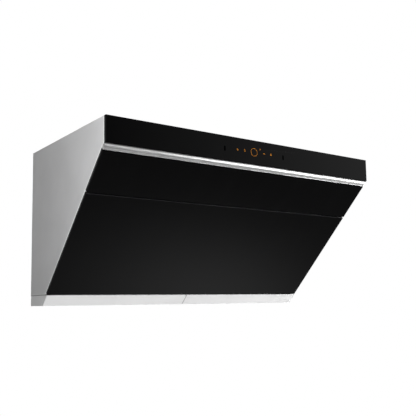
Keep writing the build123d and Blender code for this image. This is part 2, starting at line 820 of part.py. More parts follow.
filter_half = filter_width / 2 - filter_clearance
filter_end = 25.0           # frame width at the latches
filter_side = 12.0          # frame width at top and bottom
rim_thickness = 1.5
slat_pitch = 18.6
slat_width = 13.0
slat_depth = 3.4
slat_sheet = 0.9
slat_count = 22
latch_v = 30.0              # length of a latch pocket
latch_pocket = 21.5
latch_travel = 7.0
latch_tongue = 7.0          # reach of the tongue past the frame
latch_wall = 1.5
latch_depth = 7.0
tongue_thickness = 3.0
latch_fit = 0.3

SLATS = Plane(
    origin=slope_foot + liner_face * out_slope - (filter_drop - filter_length / 2) * up_slope,
    x_dir=(1, 0, 0),
    z_dir=-up_slope,
)


def slat_row(offset, count, open_side, base):
    """Profiles of one layer of channel-shaped baffles; open_side is +1 or -1 along the normal."""
    deep = base + open_side * slat_depth
    skin = base + open_side * slat_sheet
    for n in range(count):
        x = offset + (n - (count - 1) / 2) * slat_pitch
        a, b = x - slat_width / 2, x + slat_width / 2
        polygon([(a, base), (b, base), (b, deep), (b - slat_sheet, deep),
                 (b - slat_sheet, skin), (a + slat_sheet, skin), (a + slat_sheet, deep),
                 (a, deep)])


with BuildPart() as grease_filter:
    with BuildSketch(SLOPE.offset(liner_face - filter_body)):
        with Locations((0, -filter_drop)):
            Rectangle(2 * filter_half, filter_length - 2 * filter_clearance)
            Rectangle(filter_width - 2 * filter_end, filter_length - 2 * filter_side,
                      mode=Mode.SUBTRACT)
    extrude(amount=filter_body)
    with BuildSketch(SLOPE.offset(liner_face)):
        with Locations((0, -filter_drop)):
            Rectangle(filter_width + 2 * filter_rim, filter_length + 2 * filter_rim)
            Rectangle(filter_width - 2 * filter_end, filter_length - 2 * filter_side,
                      mode=Mode.SUBTRACT)
    extrude(amount=rim_thickness)
    with BuildSketch(SLATS.offset(filter_side - 1)):
        slat_row(0, slat_count, 1, -filter_body)
        slat_row(0, slat_count - 1, -1, rim_thickness - 0.5)
    extrude(amount=filter_length - 2 * filter_side + 2)
    # Latch pockets in the end frames, each with a slot for the tongue.
    for sign in SIDES:
        pocket_x = sign * (filter_half - latch_wall - latch_pocket / 2)
        with BuildSketch(SLOPE.offset(liner_face + rim_thickness)):
            with Locations((pocket_x, -filter_drop)):
                Rectangle(latch_pocket, latch_v)
        extrude(amount=-latch_depth - rim_thickness, mode=Mode.SUBTRACT)
        with BuildSketch(SLOPE.offset(liner_face - liner_sheet - latch_fit / 2)):
            with Locations((sign * filter_half, -filter_drop)):
                Rectangle(4 * latch_wall, latch_v / 2)
        extrude(amount=-tongue_thickness - latch_fit, mode=Mode.SUBTRACT)
finish(grease_filter, "grease_filter")

latch_block = latch_pocket - latch_travel - 2 * latch_fit
thumb_height = 5.0
thumb_width = 4.0

for sign in SIDES:
    block_end = sign * (filter_half - latch_wall - latch_fit)
    with BuildPart() as filter_latch:
        with BuildSketch(SLOPE.offset(liner_face - latch_depth + latch_fit)):
            with Locations((block_end - sign * latch_block / 2, -filter_drop)):
                Rectangle(latch_block, latch_v - 2 * latch_fit)
        extrude(amount=latch_depth - latch_fit + rim_thickness)
        with BuildSketch(SLOPE.offset(liner_face - liner_sheet - latch_fit)):
            with Locations((block_end + sign * (latch_tongue + latch_fit) / 2, -filter_drop)):
                Rectangle(latch_wall + latch_tongue, latch_v / 2 - 2 * latch_fit)
        extrude(amount=-tongue_thickness + latch_fit)
        with BuildSketch(SLOPE.offset(liner_face + rim_thickness)):
            with Locations((block_end - sign * latch_block / 2, -filter_drop)):
                Rectangle(thumb_width, latch_v * 0.7)
        extrude(amount=thumb_height)
    finish(filter_latch, side_name("filter_latch", sign))

# ---------------------------------------------------------------- fan housing
# The housing grows from the tongue round to the outlet, so that its gap to the impeller widens at
# a steady rate. Air leaves upwards on the right.
outlet_rise = 1.0           # outlet above the tongue's crest
inlet_gap = 1.0
outlet_z = fan_z + scroll_tongue_r + outlet_rise
scroll_back = -back_y
scroll_front = scroll_back + scroll_depth
bell_round = 8.0
bell_reach = 9.0
bell_sheet = 1.2
throat_overlap = 2.0        # throat inside the impeller's eye
throat_r = fan_eye_r - throat_overlap
scroll_steps = 12
tongue_nose = 1.5           # straight wall above the tongue's tip
ear_r = 11.0
ear_reach = 8.0


def scroll_profile(wall, top):
    """Closed outline of the housing, drawn wall inside its outer face, open upwards at top."""
    turn = FULL_TURN - tongue_angle
    curve = []
    for n in range(scroll_steps + 1):
        share = n / scroll_steps
        angle = radians(tongue_angle + turn * share)
        r = scroll_tongue_r + (scroll_outlet_r - scroll_tongue_r) * share - wall
        curve.append((fan_x + r * cos(angle), fan_z + r * sin(angle)))
    tongue_x = fan_x + scroll_tongue_r * cos(radians(tongue_angle)) + wall
    tongue_z = fan_z + scroll_tongue_r * sin(radians(tongue_angle)) + tongue_nose
    with BuildLine() as outline:
        Spline(*curve)
        Polyline(curve[-1], (curve[-1][0], top), (tongue_x, top), (tongue_x, tongue_z), curve[0])
    make_face(outline.edges())


outlet_left = fan_x + scroll_tongue_r * cos(radians(tongue_angle))
outlet_right = fan_x + scroll_outlet_r
inlet_r = throat_r + bell_round + inlet_gap
scroll_ears = (-120.0, -50.0, 10.0, 170.0)     # directions of the mounting ears, degrees


def scroll_radius(angle):
    """Outer radius of the housing in a direction, for directions past the tongue."""
    share = ((angle - tongue_angle) % FULL_TURN) / (FULL_TURN - tongue_angle)
    return scroll_tongue_r + (scroll_outlet_r - scroll_tongue_r) * share


def ear_spots():
    spots = []
    for angle in scroll_ears:
        r = scroll_radius(angle) + ear_reach
        spots.append((fan_x + r * cos(radians(angle)), fan_z + r * sin(radians(angle))))
    return spots


with BuildPart() as fan_scroll:
    with BuildSketch(Plane.XZ.offset(scroll_back)):
        scroll_profile(0, outlet_z)
    extrude(amount=scroll_depth)
    with BuildSketch(Plane.XZ.offset(scroll_back)):
        with Locations(*ear_spots()):
            Circle(ear_r)
    extrude(amount=2 * scroll_sheet)
    with BuildSketch(Plane.XZ.offset(scroll_back + scroll_sheet)):
        scroll_profile(scroll_sheet, outlet_z + scroll_sheet)
    extrude(amount=scroll_depth - 2 * scroll_sheet, mode=Mode.SUBTRACT)
    with BuildSketch(Plane.XZ.offset(scroll_front)):
        with Locations((fan_x, fan_z)):
            Circle(inlet_r)
    extrude(amount=-scroll_sheet, mode=Mode.SUBTRACT)
    with BuildSketch(Plane.XZ.offset(scroll_back)):
        with Locations(*ear_spots()):
            Circle(screw_r + screw_clearance)
    extrude(amount=2 * scroll_sheet, mode=Mode.SUBTRACT)
finish(fan_scroll, "fan_scroll")

# Bell mouth: a flange on the housing and a throat that turns into the impeller's eye.
bell_flange = 14.0
bell_crown = 2.2            # bell's arc, at its middle, from its corner
bell_flange_r = inlet_r + bell_flange
FAN_AXIS = Axis((fan_x, 0, fan_z), (0, -1, 0))


def ring_point(r, from_wall):
    """A point of a profile that turns about the fan's axis, in the plane above the axis."""
    return (-from_wall, fan_z + r)


FAN_HALF = Plane.YZ.offset(fan_x)

with BuildPart() as fan_inlet_ring:
    with BuildSketch(FAN_HALF):
        with BuildLine():
            face = scroll_front
            Polyline(ring_point(throat_r + bell_round, face + bell_sheet),
                     ring_point(bell_flange_r, face + bell_sheet),
                     ring_point(bell_flange_r, face), ring_point(throat_r + bell_round, face))
            ThreePointArc(ring_point(throat_r + bell_round, face),
                          ring_point(throat_r + bell_sheet + bell_crown, face - bell_crown),
                          ring_point(throat_r + bell_sheet, face - bell_round + bell_sheet))
            Polyline(ring_point(throat_r + bell_sheet, face - bell_round + bell_sheet),
                     ring_point(throat_r + bell_sheet, face - bell_reach - bell_sheet),
                     ring_point(throat_r, face - bell_reach - bell_sheet),
                     ring_point(throat_r, face - bell_round + bell_sheet))
            ThreePointArc(ring_point(throat_r, face - bell_round + bell_sheet),
                          ring_point(throat_r + bell_crown, face - bell_crown + bell_sheet),
                          ring_point(throat_r + bell_round, face + bell_sheet))
        make_face()
    revolve(axis=FAN_AXIS)
finish(fan_inlet_ring, "fan_inlet_ring")

transition_flange = 8.0
outlet_round = 8.0

with BuildPart() as outlet_transition:
    low_x = (outlet_left + outlet_right) / 2
    low_y = -(scroll_back + scroll_front) / 2
    low_w = outlet_right - outlet_left
    for wall, kind in ((0, Mode.ADD), (scroll_sheet, Mode.SUBTRACT)):
        with BuildSketch(Plane.XY.offset(outlet_z)):
            with Locations((low_x, low_y)):
                RectangleRounded(low_w - 2 * wall, scroll_depth - 2 * wall,
                                 outlet_round - wall)
        with BuildSketch(Plane.XY.offset(top_z - sheet)):
            with Locations((0, duct_y)):
                Circle(duct_inner_r + scroll_sheet - wall)
        loft(mode=kind)
    with BuildSketch(Plane.XY.offset(outlet_z)):
        with Locations((low_x + transition_flange / 4, low_y - transition_flange / 4)):
            Rectangle(low_w + transition_flange / 2, scroll_depth + transition_flange / 2)
        with Locations((low_x, low_y)):
            RectangleRounded(low_w - 2 * scroll_sheet, scroll_depth - 2 * scroll_sheet,
                             outlet_round - scroll_sheet, mode=Mode.SUBTRACT)
    extrude(amount=scroll_sheet)
finish(outlet_transition, "outlet_transition")

# ---------------------------------------------------------------- motor and impeller
motor_r = 46.0
motor_length = 52.0
motor_round = 6.0
mount_r = 60.0
mount_sheet = 3.0
mount_hole_r = 12.0
shaft_r = 5.0
motor_bore = 30.0
hub_gap = 6.0               # impeller dish to the motor
fan_back_gap = 10.0         # impeller to the back of the housing
fan_disc = 1.5
dish_flare = 4.0            # dish, wider at the back than in front
rim_width = 2.0             # impeller, front ring
shaft_overhang = 2.0        # shaft past the nut
mount_edge = 8.0            # mounting holes to the motor plate's edge
shaft_gap = 1.0             # shaft to the foot of the motor's bore
boss_r = 12.0
boss_length = 16.0
nut_r = 9.0
nut_height = 7.0
motor_back = scroll_back + scroll_sheet + mount_sheet
motor_front = motor_back + motor_length
fan_back = scroll_back + scroll_sheet + fan_back_gap
dish_front = motor_front + hub_gap
shaft_front = dish_front + boss_length + nut_height + shaft_overhang

with BuildPart() as motor_mount:
    with BuildSketch(Plane.XZ.offset(scroll_back + scroll_sheet)):
        with Locations((fan_x, fan_z)):
            Circle(mount_r)
            Circle(mount_hole_r, mode=Mode.SUBTRACT)
            with PolarLocations(mount_r - mount_edge, 4, first_hole):
                Circle(screw_r + screw_clearance, mode=Mode.SUBTRACT)
    extrude(amount=mount_sheet)
finish(motor_mount, "motor_mount")

with BuildPart() as fan_motor:
    with BuildSketch(FAN_HALF):
        with BuildLine():
            Polyline(ring_point(shaft_r + run_gap, motor_front - motor_bore),
                     ring_point(0, motor_front - motor_bore), ring_point(0, motor_back),
                     ring_point(motor_r, motor_back), ring_point(motor_r, motor_front - motor_round))
            ThreePointArc(ring_point(motor_r, motor_front - motor_round),
                          ring_point(motor_r - motor_round * (1 - cos(pi / 4)),
                                     motor_front - motor_round * (1 - sin(pi / 4))),
                          ring_point(motor_r - motor_round, motor_front))
            Polyline(ring_point(motor_r - motor_round, motor_front),
                     ring_point(shaft_r + run_gap, motor_front),
                     ring_point(shaft_r + run_gap, motor_front - motor_bore))
        make_face()
    revolve(axis=FAN_AXIS)
finish(fan_motor, "fan_motor")

with BuildPart() as motor_shaft:
    with BuildSketch(Plane.XZ.offset(motor_front - motor_bore + shaft_gap)):
        with Locations((fan_x, fan_z)):
            Circle(shaft_r)
    extrude(amount=shaft_front - motor_front + motor_bore - shaft_gap)
finish(motor_shaft, "motor_shaft")

blade_sweep = 9.0           # degrees that a blade leans forward over its length


def blade_profile(turn):
    """One forward-curved blade, between the eye and the rim."""
    middle = (fan_eye_r + fan_r) / 2
    with BuildLine() as outline:
        sides = []
        for lead in (0.0, blade_thickness):
            points = []
            for r, lean in ((fan_eye_r, 0.0), (middle, blade_sweep * 0.28),
                            (fan_r, blade_sweep)):
                angle = radians(turn + lean) + lead / r
                points.append((fan_x + r * cos(angle), fan_z + r * sin(angle)))
            sides.append(ThreePointArc(*points))
        Line(sides[0] @ 0, sides[1] @ 0)
        Line(sides[0] @ 1, sides[1] @ 1)
    make_face(outline.edges())


with BuildPart() as impeller:
    fan_front = fan_back + fan_length
    dish_r = motor_r + hub_gap
    with BuildSketch(FAN_HALF):
        polygon([ring_point(fan_r, fan_back), ring_point(dish_r + dish_flare, fan_back),
                 ring_point(dish_r, dish_front), ring_point(shaft_r, dish_front),
                 ring_point(shaft_r, dish_front + boss_length),
                 ring_point(boss_r, dish_front + boss_length),
                 ring_point(boss_r, dish_front + fan_disc),
                 ring_point(dish_r + fan_disc, dish_front + fan_disc),
                 ring_point(dish_r + dish_flare + fan_disc, fan_back + fan_disc),
                 ring_point(fan_r, fan_back + fan_disc)])
    revolve(axis=FAN_AXIS)
    with BuildSketch(Plane.XZ.offset(fan_front - rim_width)):
        with Locations((fan_x, fan_z)):
            Circle(fan_r)
            Circle(fan_eye_r, mode=Mode.SUBTRACT)
    extrude(amount=rim_width)
    with BuildSketch(Plane.XZ.offset(fan_back + fan_disc / 2)):
        for n in range(blade_count):
            blade_profile(FULL_TURN * n / blade_count)
    extrude(amount=fan_length - fan_disc)
finish(impeller, "impeller")

with BuildPart() as impeller_nut:
    with BuildSketch(Plane.XZ.offset(dish_front + boss_length)):
        with Locations((fan_x, fan_z)):
            RegularPolygon(nut_r, 6)
            Circle(shaft_r, mode=Mode.SUBTRACT)
    extrude(amount=nut_height)
finish(impeller_nut, "impeller_nut")

# ---------------------------------------------------------------- electrics under the top panel
ceiling = top_z - sheet
box_from_side = 197.5
box_from_front = 104.5
box_x = half - box_from_side
box_y = front_y + box_from_front
box_width = 160.0
box_length = 90.0
box_height = 32.0
box_lid = 2.0
box_round = 4.0
box_lug = 18.0              # width of the lugs at both ends

with BuildPart() as control_box:
    with BuildSketch(Plane.XY.offset(ceiling)):
        with Locations((box_x, box_y)):
            RectangleRounded(box_width, box_length, box_round)
    extrude(amount=-box_height)
    with BuildSketch(Plane.XY.offset(ceiling)):
        with Locations((box_x - box_width / 2, box_y), (box_x + box_width / 2, box_y)):
            SlotOverall(box_length / 2 + box_lug, box_lug)
    extrude(amount=-box_lid)
finish(control_box, "control_box")

capacitor_r = 17.5
capacitor_length = 72.0
capacitor_from_box = 115.0
capacitor_x = box_x
capacitor_y = box_y + capacitor_from_box
capacitor_strap = 1.2
capacitor_round = 1.5
clip_width = 16.0
clip_foot = 12.0            # feet of the clip, beside the strap
capacitor_drop = 2.0

with BuildPart() as run_capacitor:
    with BuildSketch(Plane.YZ.offset(capacitor_x - capacitor_length / 2)):
        with Locations((capacitor_y, ceiling - capacitor_drop - capacitor_r)):
            Circle(capacitor_r)
    extrude(amount=capacitor_length)
    fillet(run_capacitor.faces().sort_by(Axis.X)[-1].edges(), capacitor_round)
finish(run_capacitor, "run_capacitor")

with BuildPart() as capacitor_clip:
    centre = (capacitor_y, ceiling - capacitor_drop - capacitor_r)
    strap_r = capacitor_r + capacitor_strap
    with BuildSketch(Plane.YZ.offset(capacitor_x - clip_width / 2)):
        with Locations(centre):
            Circle(strap_r)
        section_box(capacitor_y - strap_r, capacitor_y + strap_r, centre[1],
                    ceiling)
        section_box(capacitor_y - strap_r - clip_foot, capacitor_y + strap_r + clip_foot,
                    ceiling - capacitor_strap, ceiling)
        with Locations(centre):
            Circle(capacitor_r, mode=Mode.SUBTRACT)
        section_box(capacitor_y - capacitor_r, capacitor_y + capacitor_r, centre[1],
                    ceiling, mode=Mode.SUBTRACT)
    extrude(amount=clip_width)
finish(capacitor_clip, "capacitor_clip")

gland_hex = 11.0
gland_bore_r = 4.5
gland_collar = 5.0
gland_dome = 9.0
gland_dome_r = 9.5
gland_round = 2.5
gland_tail = 10.0

gland_base = top_z + gland_plate_sheet

with BuildPart() as cable_gland:
    with BuildSketch(Plane.XY.offset(gland_base)):
        with Locations((gland_x, gland_y)):
            RegularPolygon(gland_hex, 6)
    extrude(amount=gland_collar)
    with BuildSketch(Plane.XY.offset(gland_base + gland_collar)):
        with Locations((gland_x, gland_y)):
            Circle(gland_dome_r)
    extrude(amount=gland_dome)
    fillet(cable_gland.faces().sort_by(Axis.Z)[-1].edges(), gland_round)
    with BuildSketch(Plane.XY.offset(gland_base)):
        with Locations((gland_x, gland_y)):
            Circle(gland_thread_r)
    extrude(amount=-gland_tail)
    with BuildSketch(Plane.XY.offset(gland_base - gland_tail)):
        with Locations((gland_x, gland_y)):
            Circle(gland_bore_r)
    extrude(amount=gland_tail + gland_collar + gland_dome, mode=Mode.SUBTRACT)
finish(cable_gland, "cable_gland")

# ---------------------------------------------------------------- grease cups and their rails
cup_back = 1.0              # cup to the wall
cup_lip = 8.0
cup_lip_thickness = 1.5
rail_thickness = 1.5
rail_gap = 0.4
rail_side_gap = 0.8
rail_foot = 6.0
rail_near = 16.0            # rail's wall end
rail_far = 95.0             # rail's room end
notch_gap = 0.8

cup_inner = cup_seam / 2
rail_web = cup_wall + cup_lip + rail_side_gap       # rail web from the cup's end face
foot_top = cup_top_z - cup_lip_thickness - rail_gap
foot_low = foot_top - rail_thickness


def cup_outline(inset, top):
    front_low = slope_yz(v_at_height(bottom_z + inset, -inset), -inset)
    front_high = slope_yz(v_at_height(top, -inset), -inset)
    return [(-cup_back - inset, bottom_z + inset), front_low, front_high,
            (-cup_back - inset, top)]


for sign in SIDES:
    ends = ((sign * cup_inner, sign), (sign * half, -sign))
    with BuildPart() as grease_cup:
        with BuildSketch(Plane.YZ.offset(sign * cup_inner)):
            polygon(cup_outline(0, cup_top_z))
        extrude(amount=sign * (half - cup_inner))
        # The hollow under the lips, then the mouth between them.
        with BuildSketch(Plane.YZ.offset(sign * (cup_inner + cup_wall))):
            polygon(cup_outline(cup_wall, cup_top_z - cup_lip_thickness))
        extrude(amount=sign * (half - cup_inner - 2 * cup_wall), mode=Mode.SUBTRACT)
        with BuildSketch(Plane.YZ.offset(sign * (cup_inner + cup_wall + cup_lip))):
            polygon(cup_outline(cup_wall, cup_top_z))
        extrude(amount=sign * (half - cup_inner - 2 * (cup_wall + cup_lip)), mode=Mode.SUBTRACT)
        with BuildSketch(Plane.XZ.offset(cup_back)):
            with Locations((sign * (half + cup_inner) / 2, (cup_top_z + bottom_z) / 2)):
                Rectangle(half - cup_inner, cup_height)
        extrude(amount=cup_wall, mode=Mode.SUBTRACT)
    finish(grease_cup, side_name("grease_cup", sign))

    # The wall side of the cup is a plate of its own, notched for the rails.
    with BuildPart() as cup_wall_plate:
        with BuildSketch(Plane.XZ.offset(cup_back)):
            with Locations((sign * (half + cup_inner) / 2, (cup_top_z + bottom_z) / 2)):
                Rectangle(half - cup_inner, cup_height)
            for end, inward in ends:
                near = end + inward * (rail_web - rail_side_gap - rail_foot)
                far = end + inward * (rail_web + rail_thickness + notch_gap)
                with Locations(((near + far) / 2, (cup_top_z + foot_low - notch_gap) / 2)):
                    Rectangle(abs(far - near), cup_top_z - foot_low + notch_gap,
                              mode=Mode.SUBTRACT)
        extrude(amount=cup_wall)
    finish(cup_wall_plate, side_name("cup_wall_plate", sign))

with BuildPart() as cup_rails:
    for sign in SIDES:
        for end, inward in ((sign * cup_inner, sign), (sign * half, -sign)):
            web_x = end + inward * rail_web
            back_x = web_x + inward * rail_thickness
            toe_x = web_x - inward * rail_foot
            with BuildSketch(Plane.XZ.offset(rail_near)):
                polygon([(web_x, side_bottom_z), (back_x, side_bottom_z), (back_x, foot_low),
                         (toe_x, foot_low), (toe_x, foot_top), (web_x, foot_top)])
            extrude(amount=rail_far - rail_near)
finish(cup_rails, "cup_rails")

# ---------------------------------------------------------------- screws


def screw(plane, head_r, head, shank_r, shank):
    """A pan-head screw: the head stands on the plane, the shank goes below it."""
    with BuildSketch(plane) as head_circle:
        Circle(head_r)
    extrude(head_circle.sketch, amount=head)
    with BuildSketch(plane) as shank_circle:
        Circle(shank_r)
    extrude(shank_circle.sketch, amount=-shank)


with BuildPart() as casing_screws:
    for x, y in casing_screw_spots():
        screw(Plane.XY.offset(top_z).shift_origin(Vector(x, y, top_z)), screw_head_r, screw_head,
              screw_r, screw_length)
finish(casing_screws, "casing_screws")

with BuildPart() as collar_screws:
    for n in range(collar_screw_count):
        angle = radians(first_hole + FULL_TURN * n / collar_screw_count)
        spot = Vector(collar_hole_circle * cos(angle),
                      duct_y + collar_hole_circle * sin(angle), top_z + duct_wall)
        screw(Plane(origin=spot, z_dir=(0, 0, 1)), screw_head_r, screw_head, screw_r,
              screw_length)
    for end in SIDES:
        spot = Vector(gland_x + end * gland_plate_pitch / 2, gland_y, gland_base)
        screw(Plane(origin=spot, z_dir=(0, 0, 1)), screw_head_r, screw_head, screw_r,
              screw_length)
finish(collar_screws, "collar_screws")

with BuildPart() as fan_screws:
    for x, z in ear_spots():
        spot = Vector(x, -scroll_back - 2 * scroll_sheet, z)
        screw(Plane(origin=spot, z_dir=(0, -1, 0)), screw_head_r, screw_head, screw_r,
              2 * scroll_sheet)
finish(fan_screws, "fan_screws")
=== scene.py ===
"""Looks for a wall-mounted, side-draft range hood with a slanted black glass front.

The packed solids keep their places and get their finishes here. The marks on the control glass,
the screws, the filter's handles and the studio are made here. Lengths are metres: +X runs across
the hood, +Y into the wall and +Z up.
"""

import json
import math

import bmesh
import bpy
import numpy as np
from bpy.props import FloatProperty, FloatVectorProperty, IntProperty, PointerProperty
from mathutils import Matrix, Vector


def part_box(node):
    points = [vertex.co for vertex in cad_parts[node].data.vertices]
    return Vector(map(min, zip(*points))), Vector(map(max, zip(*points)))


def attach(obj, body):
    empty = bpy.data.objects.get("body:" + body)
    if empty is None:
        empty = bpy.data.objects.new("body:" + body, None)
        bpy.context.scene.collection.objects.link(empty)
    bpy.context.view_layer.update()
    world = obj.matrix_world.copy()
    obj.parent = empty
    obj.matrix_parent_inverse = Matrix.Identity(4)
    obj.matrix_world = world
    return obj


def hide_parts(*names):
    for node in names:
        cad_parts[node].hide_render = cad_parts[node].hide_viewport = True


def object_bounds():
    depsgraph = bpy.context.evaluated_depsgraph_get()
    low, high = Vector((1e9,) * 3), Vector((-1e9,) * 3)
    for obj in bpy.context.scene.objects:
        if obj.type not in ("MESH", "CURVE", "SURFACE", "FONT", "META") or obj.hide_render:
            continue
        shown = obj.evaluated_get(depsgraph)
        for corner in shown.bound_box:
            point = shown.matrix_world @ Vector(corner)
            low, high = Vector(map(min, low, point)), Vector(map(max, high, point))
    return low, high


bl_info = {
    "name": "Slanted Range Hood Looks",
    "version": (1, 0, 0),
    "blender": (4, 5, 0),
    "location": "3D View > Sidebar > Range Hood",
    "description": "Finishes, control marks, fittings and a studio for a slanted range hood",
    "category": "Object",
}

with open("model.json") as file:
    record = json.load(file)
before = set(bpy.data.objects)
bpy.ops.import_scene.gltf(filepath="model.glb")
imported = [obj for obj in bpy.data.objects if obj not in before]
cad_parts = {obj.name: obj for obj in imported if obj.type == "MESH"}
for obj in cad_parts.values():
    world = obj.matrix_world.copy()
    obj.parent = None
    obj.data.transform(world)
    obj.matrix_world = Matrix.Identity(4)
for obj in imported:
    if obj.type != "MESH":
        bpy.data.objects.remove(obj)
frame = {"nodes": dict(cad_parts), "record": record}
CAD_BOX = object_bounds()
NODES = frame["nodes"]
MM = 0.001
TURN = 2 * math.pi
SHARP_EDGE = math.radians(35.0)
DOUBLES = 0.001 * MM
NO_LENGTH = 0.0001 * MM
WHITE = (1.0, 1.0, 1.0)

# Directions. The slanted front lies at 45 degrees.
HALF_ROOT = math.sqrt(0.5)
OUT_OF_SLOPE = np.array([0.0, -HALF_ROOT, -HALF_ROOT])
UP_SLOPE = np.array([0.0, -HALF_ROOT, HALF_ROOT])
ACROSS = np.array([1.0, 0.0, 0.0])
FORWARD = np.array([0.0, -1.0, 0.0])
UP = np.array([0.0, 0.0, 1.0])


# ---------------------------------------------------------------- settings


def length(name, description, default, unit="LENGTH"):
    return FloatProperty(name=name, description=description, default=default, unit=unit,
                         precision=5)


def share(name, description, default):
    return FloatProperty(name=name, description=description, default=default, min=0.0, max=1.0,
                         subtype="FACTOR")


def colour(name, description, default):
    return FloatVectorProperty(name=name, description=description, default=default, size=3,
                               min=0.0, max=1.0, subtype="COLOR")


class HoodPaintSettings(bpy.types.PropertyGroup):
    """Colours of the painted and moulded surfaces."""

    casing: colour("Casing", "Satin paint of the side and top panels", (0.60, 0.60, 0.605))
    cup: colour("Cups", "Satin paint of the grease cups", (0.80, 0.80, 0.80))
    glass: colour("Glass", "Black enamel behind the front glass", (0.0012, 0.0012, 0.0013))
    carrier: colour("Carriers", "Black parts behind the glass", (0.006, 0.006, 0.006))
    plastic: colour("Duct fittings", "Black moulded plastic", (0.022, 0.022, 0.023))
    case: colour("Control box", "Light grey moulded plastic", (0.56, 0.56, 0.54))
    fan: colour("Fan wheel", "Dark grey moulded plastic", (0.045, 0.046, 0.05))
    motor: colour("Motors", "Black baked paint", (0.02, 0.02, 0.022))
    board: colour("Circuit boards", "Green solder mask", (0.01, 0.09, 0.035))
    rubber: colour("Rubber", "Bumpers", (0.015, 0.015, 0.015))


class HoodMetalSettings(bpy.types.PropertyGroup):
    """Colours and roughness of the bare metals."""

    strip: colour("Lamp strip", "Satin anodised aluminium", (0.80, 0.80, 0.80))
    strip_roughness: share("Strip roughness", "Gloss of the lamp strip", 0.34)
    diffuser: colour("Diffuser", "Frosted lamp cover", (0.28, 0.28, 0.28))
    liner: colour("Liner", "Brushed stainless sheet", (0.55, 0.55, 0.56))
    zinc: colour("Zinc sheet", "Hidden plated sheet", (0.50, 0.51, 0.53))
    filter: colour("Filter", "Aluminium baffles", (0.62, 0.62, 0.63))
    arm: colour("Arms", "Brushed steel of arms and latches", (0.52, 0.52, 0.53))
    shaft: colour("Shafts", "Ground steel", (0.58, 0.58, 0.60))
    screw: colour("Screws", "Bright zinc plating", (0.60, 0.61, 0.63))


class HoodControlSettings(bpy.types.PropertyGroup):
    """Places and sizes of the marks on the control glass."""

    mark_colour: colour("Mark colour", "Lit orange of the marks", (0.60, 0.215, 0.012))
    ring_x: length("Ring place", "Centre of the ring across the glass", -5.5 * MM)
    ring_drop: length("Ring drop", "Centre of the ring below the glass's top", 33.0 * MM)
    ring_radius: length("Ring radius", "Radius of the ring's middle line", 10.6 * MM)
    ring_stroke: length("Ring stroke", "Width of the ring's line", 1.15 * MM)
    stroke: length("Symbol stroke", "Width of a symbol's lines", 0.9 * MM)
    relief: length("Relief", "Height of the marks above the glass", 0.03 * MM)


class HoodFittingSettings(bpy.types.PropertyGroup):
    """Sizes of the screws and of the filter's handles."""

    recess_depth: length("Recess depth", "Depth of a screw's cross recess", 1.2 * MM)
    recess_arm: length("Recess arm", "Half width of an arm of the recess", 0.55 * MM)
    thread_depth: length("Thread depth", "Height of a screw's thread", 0.25 * MM)
    thread_pitch: length("Thread pitch", "Pitch of a screw's thread", 1.2 * MM)
    handle_span: length("Handle span", "Length of a filter handle", 74.4 * MM)
    handle_rise: length("Handle rise", "Height of a handle over the filter", 24.0 * MM)
    handle_wire: length("Handle wire", "Diameter of a handle's wire", 4.0 * MM)
    handle_place: length("Handle place", "Handles from the filter's middle", 111.6 * MM)
    segments: IntProperty(name="Segments", description="Faces around a screw", default=48,
                          min=12, max=96)


class HoodStageSettings(bpy.types.PropertyGroup):
    """The studio: camera, lights and floor."""

    camera_place: FloatVectorProperty(name="Camera place", description="Where the camera stands",
                                      default=(-1.1082, -1.7726, -0.3957), size=3,
                                      subtype="TRANSLATION", unit="LENGTH")
    camera_heading: FloatProperty(name="Heading", description="Turn of the camera to the right",
                                  default=math.radians(36.223), unit="ROTATION")
    camera_pitch: FloatProperty(name="Pitch", description="Tilt of the camera upwards",
                                default=math.radians(6.475), unit="ROTATION")
    camera_roll: FloatProperty(name="Roll", description="Roll of the camera",
                               default=math.radians(-0.921), unit="ROTATION")
    lens: FloatProperty(name="Lens", description="Focal length", default=55.96, unit="CAMERA")
    shift: FloatVectorProperty(name="Shift", description="Sideways and upward shift of the lens",
                               default=(-0.0131, 0.0574), size=2, subtype="XYZ")
    floor_drop: length("Floor drop", "Floor below the hood", 1.95)
    floor_reach: length("Floor reach", "Half length of the floor", 9.0)
    floor_dim: share("Floor glow", "Brightness of the floor in the glass", 0.04)
    pool: share("Pool glow", "Brightness of the pool of light on the floor", 0.47)
    pool_place: FloatVectorProperty(name="Pool place", description="Middle of the pool of light",
                                    default=(1.35, -0.18), size=2, subtype="XYZ", unit="LENGTH")
    pool_size: FloatVectorProperty(name="Pool size", description="Reach of the pool of light",
                                   default=(0.92, 0.48), size=2, subtype="XYZ", unit="LENGTH")
    air: share("Air light", "Light from the studio's walls", 0.09)
    air_right: FloatProperty(name="Right light", description="Growth of light to the right",
                             default=1.65)
    air_left: FloatProperty(name="Left light", description="Growth of light to the left",
                            default=0.52)
    ceiling: share("Ceiling", "Light from the ceiling", 0.05)
    ceiling_right: FloatProperty(name="Right ceiling", description="Ceiling light on the right",
                                 default=0.3)


SETTINGS = {
    "hood_paint": HoodPaintSettings,
    "hood_metal": HoodMetalSettings,
    "hood_controls": HoodControlSettings,
    "hood_fittings": HoodFittingSettings,
    "hood_stage": HoodStageSettings,
}


# ---------------------------------------------------------------- surfaces


def grid_faces(rows, columns, wrap_rows, wrap_columns):
    """Quads of a grid: each joins a point to the next along the rows and along the columns, and a
    wrapped direction also joins its last line to its first."""
    along = np.arange(rows if wrap_rows else rows - 1)
    across = np.arange(columns if wrap_columns else columns - 1)
    i, j = np.meshgrid(along, across, indexing="ij")
    k, m = (i + 1) % rows, (j + 1) % columns
    quads = (i * columns + j, k * columns + j, k * columns + m, i * columns + m)
    return np.stack(quads, axis=-1).reshape(-1, 4)


def new_object(name, data):
    made = bpy.data.objects.new(name, data)
    bpy.context.scene.collection.objects.link(made)
    return made


